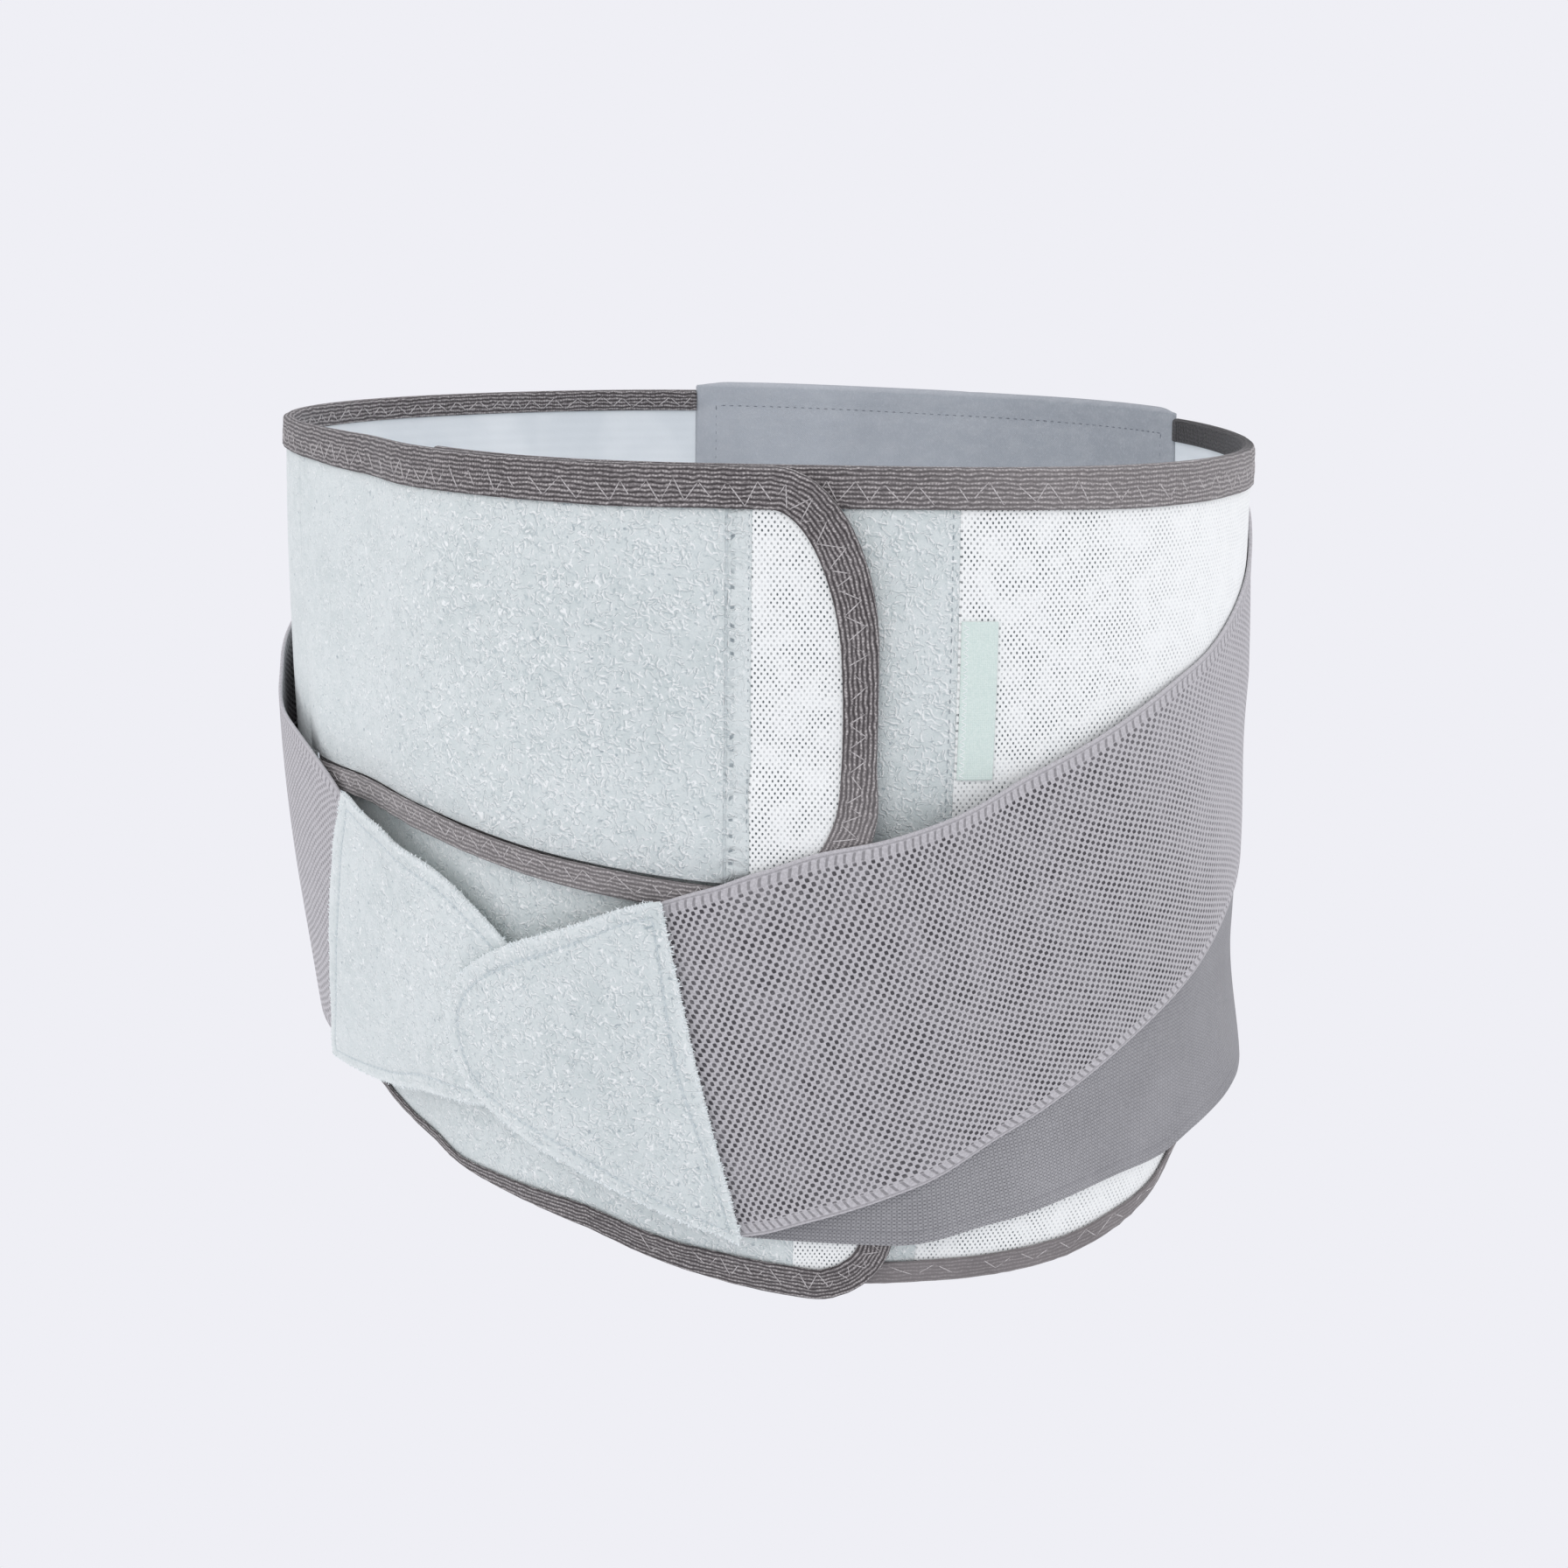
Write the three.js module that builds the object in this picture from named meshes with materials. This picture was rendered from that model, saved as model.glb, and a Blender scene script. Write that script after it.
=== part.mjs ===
// Trunk compression binder: an elastic belt for the lower back and belly, shown closed as it is worn.
// Millimetres, +Z up, the belly at -Y, the wearer's left at +X. The origin is the middle of the
// space for the trunk, halfway down the height at the belly.
//
// Every cloth is laid on one body surface. A place on it is given by
//   s     mm along the girth at the top rim, 0 at the belly's middle, plus toward the wearer's left
//   drop  mm below the top rim
//   lift  mm out from the body surface
import * as THREE from 'three';

// Body surface at the top rim, inside the cloth
const WIDTH = 313.4;
const DEPTH = 247.9;
// Its form, as waves around the girth on a round one: flat back, fuller sides, a soft ridge at the belly
const FORM = [
  { waves: 1, share: 0.0766 },
  { waves: 2, share: -0.1152 },
  { waves: 3, share: -0.0121 },
  { waves: 4, share: 0.0104 },
  { waves: 5, share: 0.0251 },
  { waves: 6, share: 0.0044 },
];
// Profile down the front: it swells below the rim and draws in toward the bottom edge
const BELLY_SWELL = 0.1;
const BELLY_DRAW_IN = 0.258;
const BACK_FLARE = 0.033;

// Heights, from the top rim down
const FRONT_HEIGHT = 250;
const HIP_HEIGHT = 198;
const BACK_HEIGHT = 212;
const BACK_PANEL_RISE = 1.5;
// Where the right panel is split into its two tongues, and how much higher that is at its root
const SPLIT_DROP = 125.5;
const SPLIT_RISE = 14.5;

// Places along the girth
const BACK_PANEL_HALF = 100;
const BACK_PANEL_TURN = 13;
const LEFT_END_PAST_MIDDLE = 42;
const LEFT_SEAM = 114;
const UPPER_SEAM = 59;
const UPPER_TONGUE_END = 92.2;
const LOWER_SEAM = 73;
const LOWER_TONGUE_END = 104.5;
const SPLIT_ROOT = 128;
const RIGHT_SEAM = 185;

// Corners of the two tongues: run along the girth and drop
const UPPER_CORNER = { run: 28, drop: 50 };
const UNDER_CORNER = { run: 31, drop: 33 };
const LOWER_CORNER = { run: 26, drop: 23 };

// Cloths
const PANEL_THICK = 1.6;
const PAD_THICK = 5;
const PAD_INSIDE = 2;
const TAPE_THICK = 0.8;
const TAPE_WIDTH = 10.6;
const TAPE_INSIDE = 7.5;
const STRAP_THICK = 1.2;
const TAB_THICK = 1.6;
const LABEL_THICK = 0.5;

// Clearances and laps
const LAY = 0.3;
const SEAM_GAP = 0.4;
const TUCK = 4;
const SPLIT_LAP = 14;
// How far short of the split's root the lower tongue's top corner is cut off, and over what run
const ROOT_CLEAR = 20;
const ROOT_SLOPE = 14;
// How far past the tongues' ends the straps over them have run down onto the panel
const RUN_DOWN_TO = 32;
const RUN_DOWN_FROM = 4;
// The same before the split's root
const ROOT_RUN_DOWN_TO = 34;
const ROOT_RUN_DOWN_FROM = 6;

// Straps
const STRAP_SEWN_BEFORE_PANEL = 26;
const NET_STRAP_WIDTH = 111;
const PLAIN_STRAP_WIDTH = 96.5;
const STRAP_UNDER_TAB = 31;
// The right-hand straps are pulled tighter, and so are a little narrower
const RIGHT_NARROWING = 6;
// The left plain strap stands off over the hip cut-out
const HIP_STANDOFF = 8;
const RIGHT_TAB_OVER = 10;

// Tabs: the wide edge's lower corner along the girth, the length to the tip, the wide edge's width
const LEFT_TAB_EDGE = 56.7;
const LEFT_TAB_LENGTH = 92;
const LEFT_TAB_WIDTH = 106.5;
const LEFT_TAB_DROP = 120;
const RIGHT_TAB_EDGE = 125.5;
const RIGHT_TAB_LENGTH = 133;
const RIGHT_TAB_WIDTH = 98;
const RIGHT_TAB_DROP = 108.6;

// Label sewn into the left seam
const LABEL_WIDTH = 9.6;
const LABEL_LENGTH = 44;
const LABEL_DROP = 41.5;

// How finely the cloths are laid
const STEP = 10;
const ROW = 42;
const CORNER_STEPS = 7;
const SQUEEZE = 0.3;

// body surface

const smooth = (x) => {
  const t = Math.min(Math.max(x, 0), 1);
  return t * t * (3 - 2 * t);
};

const ramp = (x, x0, x1) => Math.min(Math.max((x - x0) / (x1 - x0), 0), 1);

// Reads one column of a table whose rows start with a share from 0 to 1
function column(table, share, key) {
  let i = 1;
  while (i < table.length - 1 && table[i].at < share) i += 1;
  const a = table[i - 1];
  const b = table[i];
  return a[key] + (b[key] - a[key]) * ramp(share, a.at, b.at);
}

const form = (theta) => FORM.reduce((sum, { waves, share }) => sum + share * Math.cos(waves * theta), 1);
const formPoint = (theta) => new THREE.Vector2(form(theta) * Math.sin(theta), -form(theta) * Math.cos(theta));

// The girth measured at the rim, as a table of angle against length
const ANGLES = 1440;
const allAngles = Array.from({ length: ANGLES + 1 }, (_, i) => -Math.PI + (2 * Math.PI * i) / ANGLES);
const formSize = new THREE.Box2().setFromPoints(allAngles.map(formPoint)).getSize(new THREE.Vector2());
const scale = new THREE.Vector2(WIDTH / formSize.x, DEPTH / formSize.y);
const rim = allAngles.map((theta) => formPoint(theta).multiply(scale));
const rimLength = [0];
for (let i = 1; i <= ANGLES; i += 1) {
  rimLength.push(rimLength[i - 1] + rim[i].distanceTo(rim[i - 1]));
}
const GIRTH = rimLength[ANGLES];
const BELLY_AT = rimLength[ANGLES / 2];
const centre = new THREE.Box2().setFromPoints(rim).getCenter(new THREE.Vector2());

function angleAt(s) {
  const turns = Math.floor((s + BELLY_AT) / GIRTH);
  const want = s + BELLY_AT - turns * GIRTH;
  let low = 0;
  let high = ANGLES;
  while (high - low > 1) {
    const mid = (low + high) >> 1;
    if (rimLength[mid] <= want) low = mid;
    else high = mid;
  }
  const part = (want - rimLength[low]) / (rimLength[high] - rimLength[low]);
  return -Math.PI + (2 * Math.PI * (low + part)) / ANGLES + 2 * Math.PI * turns;
}

// How far the profile carries the body surface out, at a drop below the rim
function profile(theta, drop) {
  const front = smooth((1 + Math.cos(theta)) / 2);
  const down = drop / FRONT_HEIGHT;
  const belly = BELLY_SWELL * down - BELLY_DRAW_IN * down * down;
  return 1 + front * belly + (1 - front) * BACK_FLARE * down;
}

function onBody(s, drop, lift) {
  const theta = angleAt(s);
  const place = formPoint(theta).multiply(scale);
  place.setLength(place.length() * profile(theta, drop) + lift);
  place.sub(centre);
  return [place.x, place.y, FRONT_HEIGHT / 2 - drop];
}

// cloth and tape solids

// Places along the girth from one end to the other, on the common steps, with extra ones between
function stations(from, to, extra = []) {
  const list = [from, to, ...extra];
  for (let k = Math.ceil(from / STEP); k * STEP < to; k += 1) list.push(k * STEP);
  list.sort((a, b) => a - b);
  return list.filter((s, i) => s >= from && s <= to && (i === 0 || s - list[i - 1] > 0.35));
}

function solidFrom(rings) {
  const size = rings[0].length;
  const index = [];
  for (let i = 0; i + 1 < rings.length; i += 1) {
    for (let k = 0; k < size; k += 1) {
      const a = i * size + k;
      const b = i * size + ((k + 1) % size);
      index.push(a, b, a + size, b, b + size, a + size);
    }
  }
  const geometry = new THREE.BufferGeometry();
  geometry.setAttribute('position', new THREE.Float32BufferAttribute(rings.flat(2), 3));
  return { geometry, index, size, count: rings.length };
}

// Rows from a cloth's top edge to its bottom edge: even ones, or ones that keep to fixed drops
// and are squeezed together where the outline leaves them no room
const evenRows = (height) => {
  const rows = Math.max(2, Math.round(height / ROW));
  return (from, to) => Array.from({ length: rows + 1 }, (_, i) => from + ((to - from) * i) / rows);
};
const rowsAt = (dropsAt) => (from, to, s) => [
  from,
  ...dropsAt(s).map((drop, i, drops) => Math.min(
    Math.max(drop, from + SQUEEZE * (i + 1)),
    to - SQUEEZE * (drops.length - i),
  )),
  to,
];

// A sheet of cloth: at each station a ring runs down its outer face and back up its inner face
function sheet({ at, top, bottom, inner, thick, rows }) {
  const rings = at.map((s) => {
    const down = rows(top(s), bottom(s), s);
    const outside = down.map((drop) => onBody(s, drop, inner(s, drop) + thick));
    const inside = down.map((drop) => onBody(s, drop, inner(s, drop))).reverse();
    return [...outside, ...inside];
  });
  const { geometry, index, size, count } = solidFrom(rings);
  const half = size / 2;
  const last = (count - 1) * size;
  for (let k = 0; k + 1 < half; k += 1) {
    const a = k;
    const b = size - 1 - k;
    index.push(a, b, a + 1, a + 1, b, b - 1);
    index.push(last + a, last + a + 1, last + b, last + a + 1, last + b - 1, last + b);
  }
  geometry.setIndex(index);
  return geometry;
}

// Edge tape folded over a cloth's edge: a channel section carried along the edge's path.
// The path gives places on the edge and the direction into the cloth.
function edgeTape({ path, inner, width = TAPE_WIDTH, insideWidth = TAPE_INSIDE }) {
  const rings = path.map(({ s, drop, into }) => {
    const place = (inset, side) => {
      const ps = s + into.s * inset;
      const pd = drop + into.drop * inset;
      return onBody(ps, pd, inner(ps, pd) + side);
    };
    const out = PANEL_THICK + LAY;
    return [
      place(0, out + TAPE_THICK),
      place(width, out + TAPE_THICK),
      place(width, out),
      place(TAPE_THICK, out),
      place(TAPE_THICK, -LAY),
      place(insideWidth, -LAY),
      place(insideWidth, -LAY - TAPE_THICK),
      place(0, -LAY - TAPE_THICK),
    ];
  });
  const { geometry, index, size, count } = solidFrom(rings);
  const cap = [[0, 1, 2], [0, 2, 3], [0, 3, 4], [0, 4, 7], [4, 5, 6], [4, 6, 7]];
  const last = (count - 1) * size;
  cap.forEach(([a, b, c]) => {
    index.push(a, c, b);
    index.push(last + a, last + b, last + c);
  });
  geometry.setIndex(index);
  return geometry;
}

const group = new THREE.Group();

function add(name, geometry, look) {
  geometry.computeVertexNormals();
  const mesh = new THREE.Mesh(geometry, look.clone());
  mesh.name = name;
  group.add(mesh);
}

const cloth = (color, roughness = 0.9) => new THREE.MeshStandardMaterial({
  color, roughness, metalness: 0, side: THREE.DoubleSide,
});
const FLEECE = cloth('#d7e2e5', 0.95);
const MESH = cloth('#eef2f4');
const TAPE = cloth('#6e696b');
const NET = cloth('#a4a1a6');
const PLAIN = cloth('#808085');
const PAD = cloth('#a5acb4', 0.8);
const LABEL = cloth('#dfeee8', 0.6);

// outlines of the panels

// Bottom edges: at the belly they hang lowest, over the hips they are cut out, at the back they come
// down again. at is the share of the run from the belly's middle to the back panel, dip the share of
// the way from the hip's height down to the belly's height.
const LEFT_BOTTOM = [
  { at: -0.13, dip: 0.36 },
  { at: 0, dip: 0.48 },
  { at: 0.1, dip: 0.66 },
  { at: 0.2, dip: 0.83 },
  { at: 0.27, dip: 0.895 },
  { at: 0.364, dip: 0.86 },
  { at: 0.466, dip: 0.78 },
  { at: 0.54, dip: 0.635 },
  { at: 0.58, dip: 0.49 },
  { at: 0.612, dip: 0.25 },
  { at: 0.646, dip: 0.08 },
  { at: 0.689, dip: 0 },
  { at: 1, dip: 0 },
];
const RIGHT_BOTTOM = [
  { at: -1, dip: 0 },
  { at: -0.544, dip: 0 },
  { at: -0.437, dip: 0.06 },
  { at: -0.34, dip: 0.22 },
  { at: -0.291, dip: 0.36 },
  { at: -0.243, dip: 0.45 },
  { at: -0.078, dip: 0.53 },
  { at: 0.01, dip: 0.61 },
  { at: 0.066, dip: 0.73 },
  { at: 0.12, dip: 0.835 },
  { at: 0.194, dip: 0.94 },
  { at: 0.252, dip: 0.98 },
  { at: 1, dip: 0.98 },
];
const PANEL_RUN = GIRTH / 2 - BACK_PANEL_HALF;
const LEFT_PANEL_AT = PANEL_RUN - BACK_PANEL_TURN;
const RIGHT_PANEL_AT = -PANEL_RUN - BACK_PANEL_TURN;

function bottomEdge(table, s) {
  const share = s / PANEL_RUN;
  const belly = HIP_HEIGHT + (FRONT_HEIGHT - HIP_HEIGHT) * column(table, share, 'dip');
  return belly + (BACK_HEIGHT - HIP_HEIGHT) * smooth(ramp(Math.abs(share), 0.84, 1.14));
}
const leftBottom = (s) => bottomEdge(LEFT_BOTTOM, s);
const rightBottom = (s) => bottomEdge(RIGHT_BOTTOM, s);

// The split's lower edge, a little higher toward its root
const splitEdge = (s) => SPLIT_DROP
  - SPLIT_RISE * smooth(ramp(s, 0.87 * UPPER_TONGUE_END, -0.59 * SPLIT_ROOT));

// How far a cloth's outline lies inside its tape's outer edge
const EDGE = TAPE_THICK + LAY;

const quarter = (share) => 1 - Math.sqrt(Math.max(1 - share * share, 0));

// A tongue's rounded end: how much a corner takes off the height at s
const cornerCut = (s, end, corner) => corner.drop * quarter(ramp(s, end - corner.run, end));

const cornerStations = (end, corner, inset = 0) => Array.from(
  { length: CORNER_STEPS + 1 },
  (_, i) => end - corner.run + (corner.run - inset) * Math.sin((i * Math.PI) / 2 / CORNER_STEPS),
);

// lifts of the layers

const TAPE_OUT = PANEL_THICK + LAY + TAPE_THICK;
const TAPE_IN = LAY + TAPE_THICK;
// The right-hand panel lies over the left-hand one from a little before its hidden end
const OVER_LEFT = TAPE_OUT + LAY + TAPE_IN;
const overLeft = (s) => OVER_LEFT * smooth(ramp(s, -LEFT_END_PAST_MIDDLE - 44, -LEFT_END_PAST_MIDDLE - 6));

// The upper tongue's lower band lies over the lower tongue's hidden top edge. It climbs between
// two drops above the split's edge.
const OVER_LOWER = PANEL_THICK + LAY + TAPE_IN;
const CLIMB_FROM = 47;
const CLIMB_TO = 33;
const overLower = (s, drop) => OVER_LOWER
  * ramp(drop, splitEdge(s) - CLIMB_FROM, splitEdge(s) - CLIMB_TO)
  * ramp(s, -SPLIT_ROOT, -SPLIT_ROOT + 18);

const flat = () => 0;
const lowerLift = (s) => overLeft(s);
const upperLift = (s, drop) => overLeft(s) + (s > -SPLIT_ROOT ? overLower(s, drop) : 0);

// back panel

add('back_panel', sheet({
  at: stations(LEFT_PANEL_AT + SEAM_GAP, RIGHT_PANEL_AT + GIRTH - SEAM_GAP),
  top: () => -BACK_PANEL_RISE,
  bottom: (s) => Math.max(leftBottom(Math.min(s, 2 * PANEL_RUN)), rightBottom(s - GIRTH)),
  inner: () => -PAD_INSIDE,
  thick: PAD_THICK,
  rows: evenRows(BACK_HEIGHT),
}), PAD);

// left panel, the one underneath

const panelTop = () => EDGE;
const leftPanelBottom = (s) => leftBottom(s) - EDGE;
const rightPanelBottom = (s) => rightBottom(s) - EDGE;
const leftEnd = -LEFT_END_PAST_MIDDLE;

add('left_front_panel', sheet({
  at: stations(leftEnd, LEFT_SEAM - SEAM_GAP / 2),
  top: panelTop,
  bottom: leftPanelBottom,
  inner: flat,
  thick: PANEL_THICK,
  rows: evenRows(FRONT_HEIGHT),
}), FLEECE);

add('left_side_panel', sheet({
  at: stations(LEFT_SEAM + SEAM_GAP / 2, LEFT_PANEL_AT),
  top: panelTop,
  bottom: leftPanelBottom,
  inner: flat,
  thick: PANEL_THICK,
  rows: evenRows(FRONT_HEIGHT),
}), MESH);

const topRun = (from, to) => stations(from, to).map((s) => ({ s, drop: 0, into: { s: 0, drop: 1 } }));
const bottomRun = (edge, from, to) => stations(from, to)
  .map((s) => ({ s, drop: edge(s), into: { s: 0, drop: -1 } })).reverse();

add('left_top_tape', edgeTape({ path: topRun(leftEnd, LEFT_PANEL_AT), inner: flat }), TAPE);
add('left_bottom_tape', edgeTape({ path: bottomRun(leftBottom, leftEnd, LEFT_PANEL_AT), inner: flat }), TAPE);

// right panel, split in two tongues

add('right_side_panel', sheet({
  at: stations(RIGHT_PANEL_AT, -RIGHT_SEAM - SEAM_GAP / 2),
  top: panelTop,
  bottom: rightPanelBottom,
  inner: flat,
  thick: PANEL_THICK,
  rows: evenRows(FRONT_HEIGHT),
}), MESH);

const upperEnd = UPPER_TONGUE_END - EDGE;
const upperTop = (s) => EDGE + cornerCut(s, upperEnd, UPPER_CORNER);
const upperBottom = (s) => {
  if (s <= -SPLIT_ROOT) return rightPanelBottom(s);
  return splitEdge(s) - EDGE - cornerCut(s, upperEnd, UNDER_CORNER);
};
// Rows close up where the lower band climbs over the lower tongue
const bandDrops = (s) => [splitEdge(s) / 3, splitEdge(s) - CLIMB_FROM, splitEdge(s) - CLIMB_TO];
const belowBand = [1 / 3, 2 / 3].map((share) => SPLIT_DROP + share * (FRONT_HEIGHT - SPLIT_DROP));

add('right_upper_panel', sheet({
  at: stations(-RIGHT_SEAM + SEAM_GAP / 2, UPPER_SEAM - SEAM_GAP / 2, [-SPLIT_ROOT, -SPLIT_ROOT + SEAM_GAP]),
  top: upperTop,
  bottom: upperBottom,
  inner: upperLift,
  thick: PANEL_THICK,
  rows: rowsAt((s) => [...bandDrops(s), splitEdge(s) - EDGE, ...belowBand]),
}), FLEECE);

const upperTip = [
  ...cornerStations(upperEnd, UPPER_CORNER, EDGE / 2),
  ...cornerStations(upperEnd, UNDER_CORNER, EDGE / 2),
];
add('upper_tongue_end', sheet({
  at: stations(UPPER_SEAM + SEAM_GAP / 2, upperEnd - EDGE / 2, upperTip),
  top: upperTop,
  bottom: upperBottom,
  inner: upperLift,
  thick: PANEL_THICK,
  rows: rowsAt(bandDrops),
}), MESH);

const lowerEnd = LOWER_TONGUE_END - EDGE;
const lowerTop = (s) => splitEdge(s) - SPLIT_LAP
  + 2 * SPLIT_LAP * ramp(s, ROOT_CLEAR + ROOT_SLOPE - SPLIT_ROOT, ROOT_CLEAR - SPLIT_ROOT);
const lowerBottom = (s) => rightPanelBottom(s) - cornerCut(s, lowerEnd, LOWER_CORNER);

const lowerDrops = evenRows(FRONT_HEIGHT - lowerTop(lowerEnd))(lowerTop(lowerEnd), FRONT_HEIGHT);

add('right_lower_panel', sheet({
  at: stations(-SPLIT_ROOT + 2 * SEAM_GAP, LOWER_SEAM - SEAM_GAP / 2),
  top: lowerTop,
  bottom: lowerBottom,
  inner: lowerLift,
  thick: PANEL_THICK,
  rows: evenRows(FRONT_HEIGHT - lowerTop(lowerEnd)),
}), FLEECE);

add('lower_tongue_end', sheet({
  at: stations(
    LOWER_SEAM + SEAM_GAP / 2,
    lowerEnd - EDGE / 2,
    cornerStations(lowerEnd, LOWER_CORNER, EDGE / 2),
  ),
  top: lowerTop,
  bottom: lowerBottom,
  inner: lowerLift,
  thick: PANEL_THICK,
  rows: rowsAt(() => lowerDrops.slice(1, -1)),
}), MESH);

// A tape's path around a tongue's corner, a quarter oval from turn angle 0 to 90 degrees.
// dropSign is +1 where the corner starts at the top edge and -1 where it ends at the bottom edge.
function cornerPath(end, corner, edgeDrop, dropSign) {
  return Array.from({ length: CORNER_STEPS + 1 }, (_, i) => {
    const turn = (i * Math.PI) / 2 / CORNER_STEPS;
    const s = end - corner.run * (1 - Math.sin(turn));
    const drop = edgeDrop(s) + dropSign * corner.drop * (1 - Math.cos(turn));
    const into = new THREE.Vector2(-Math.sin(turn) / corner.run, (dropSign * Math.cos(turn)) / corner.drop);
    into.normalize();
    return { s, drop, into: { s: into.x, drop: into.y } };
  });
}

// Down a tongue's end between two corners, with stops where its rows are
const endPath = (end, from, to, drops) => drops
  .filter((drop) => drop > from + 1 && drop < to - 1)
  .map((drop) => ({ s: end, drop, into: { s: -1, drop: 0 } }));

add('upper_tongue_tape', edgeTape({
  path: [
    ...topRun(RIGHT_PANEL_AT, UPPER_TONGUE_END - UPPER_CORNER.run - 1),
    ...cornerPath(UPPER_TONGUE_END, UPPER_CORNER, () => 0, 1),
    ...endPath(UPPER_TONGUE_END, UPPER_CORNER.drop, SPLIT_DROP - UNDER_CORNER.drop, bandDrops(upperEnd)),
    ...cornerPath(UPPER_TONGUE_END, UNDER_CORNER, splitEdge, -1).reverse(),
    ...stations(-SPLIT_ROOT + SEAM_GAP, UPPER_TONGUE_END - UNDER_CORNER.run - 1).reverse()
      .map((s) => ({ s, drop: splitEdge(s), into: { s: 0, drop: -1 } })),
  ],
  inner: upperLift,
}), TAPE);

add('lower_tongue_tape', edgeTape({
  path: [
    ...endPath(LOWER_TONGUE_END, 0, FRONT_HEIGHT - LOWER_CORNER.drop, lowerDrops),
    ...cornerPath(LOWER_TONGUE_END, LOWER_CORNER, rightBottom, -1).reverse(),
    ...bottomRun(rightBottom, RIGHT_PANEL_AT, LOWER_TONGUE_END - LOWER_CORNER.run - 1),
  ],
  inner: lowerLift,
}), TAPE);

// straps and tabs

// Each side has a net strap that climbs to the back panel's upper half, over a plain strap that
// runs level to its lower half. Both end under a loop-faced tab.
// at: share of the run from the hidden end under the tab to the seam at the back panel
// mid: the strap's middle as a share of the belly's height, wide: share of the strap's width
const LEFT_NET = [
  { at: 0.0, mid: 0.67, wide: 0.76 },
  { at: 0.08, mid: 0.682, wide: 0.97 },
  { at: 0.13, mid: 0.671, wide: 1.02 },
  { at: 0.18, mid: 0.651, wide: 1.03 },
  { at: 0.25, mid: 0.627, wide: 1.01 },
  { at: 0.39, mid: 0.552, wide: 0.98 },
  { at: 0.55, mid: 0.446, wide: 0.912 },
  { at: 0.7, mid: 0.355, wide: 0.878 },
  { at: 0.85, mid: 0.28, wide: 0.865 },
  { at: 1.0, mid: 0.228, wide: 0.847 },
];
const LEFT_PLAIN = [
  { at: 0.0, mid: 0.67, wide: 0.82 },
  { at: 0.13, mid: 0.713, wide: 1.0 },
  { at: 0.29, mid: 0.717, wide: 1.0 },
  { at: 0.41, mid: 0.695, wide: 1.0 },
  { at: 0.56, mid: 0.65, wide: 1.0 },
  { at: 0.62, mid: 0.644, wide: 1.0 },
  { at: 0.673, mid: 0.623, wide: 1.0 },
  { at: 0.72, mid: 0.606, wide: 1.0 },
  { at: 0.78, mid: 0.591, wide: 1.0 },
  { at: 1.0, mid: 0.584, wide: 1.0 },
];
const RIGHT_NET = [
  { at: 0.0, mid: 0.616, wide: 0.75 },
  { at: 0.06, mid: 0.606, wide: 0.89 },
  { at: 0.18, mid: 0.588, wide: 1.0 },
  { at: 0.33, mid: 0.528, wide: 1.0 },
  { at: 0.51, mid: 0.442, wide: 0.98 },
  { at: 0.73, mid: 0.332, wide: 0.93 },
  { at: 1.0, mid: 0.228, wide: 0.895 },
];
const RIGHT_PLAIN = [
  { at: 0.0, mid: 0.62, wide: 0.85 },
  { at: 0.195, mid: 0.616, wide: 1.0 },
  { at: 0.3, mid: 0.6, wide: 1.0 },
  { at: 0.5, mid: 0.602, wide: 1.0 },
  { at: 0.75, mid: 0.597, wide: 1.0 },
  { at: 1.0, mid: 0.584, wide: 1.0 },
];

function strapOutline({ table, width, from, to }) {
  const share = (s) => (s - from) / (to - from);
  const mid = (s) => column(table, share(s), 'mid') * FRONT_HEIGHT;
  const half = (s) => (column(table, share(s), 'wide') * width) / 2;
  return {
    at: stations(Math.min(from, to), Math.max(from, to)),
    top: (s) => mid(s) - half(s),
    bottom: (s) => mid(s) + half(s),
    rows: evenRows(width * 1.6),
  };
}

const leftSewn = LEFT_PANEL_AT - STRAP_SEWN_BEFORE_PANEL;
const rightSewn = RIGHT_PANEL_AT + STRAP_SEWN_BEFORE_PANEL;
const leftStrapEnd = LEFT_TAB_EDGE - STRAP_UNDER_TAB;
const rightStrapEnd = -RIGHT_TAB_EDGE + STRAP_UNDER_TAB + RIGHT_TAB_OVER;

const leftPlain = strapOutline({
  table: LEFT_PLAIN, width: PLAIN_STRAP_WIDTH, from: leftStrapEnd - TUCK, to: leftSewn,
});
const leftNet = strapOutline({
  table: LEFT_NET, width: NET_STRAP_WIDTH, from: leftStrapEnd, to: leftSewn,
});
const rightPlain = strapOutline({
  table: RIGHT_PLAIN,
  width: PLAIN_STRAP_WIDTH - RIGHT_NARROWING,
  from: rightStrapEnd + TUCK,
  to: rightSewn,
});
const rightNet = strapOutline({
  table: RIGHT_NET,
  width: NET_STRAP_WIDTH - RIGHT_NARROWING,
  from: rightStrapEnd,
  to: rightSewn,
});

// Lifts. A net strap rides on its plain strap, and above that comes down to the panel.
const ON_PANEL = TAPE_OUT + LAY;
const PLAIN_OVER_PANEL = ON_PANEL + LAY;
const OVER_STRAP = STRAP_THICK + LAY;
const OVER_SPLIT = OVER_LOWER + TAPE_OUT + LAY;
const comeDown = (plain, s, drop) => (PLAIN_OVER_PANEL + OVER_STRAP - ON_PANEL)
  * ramp(drop, plain.top(s) - 30, plain.top(s) - 60);

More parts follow.
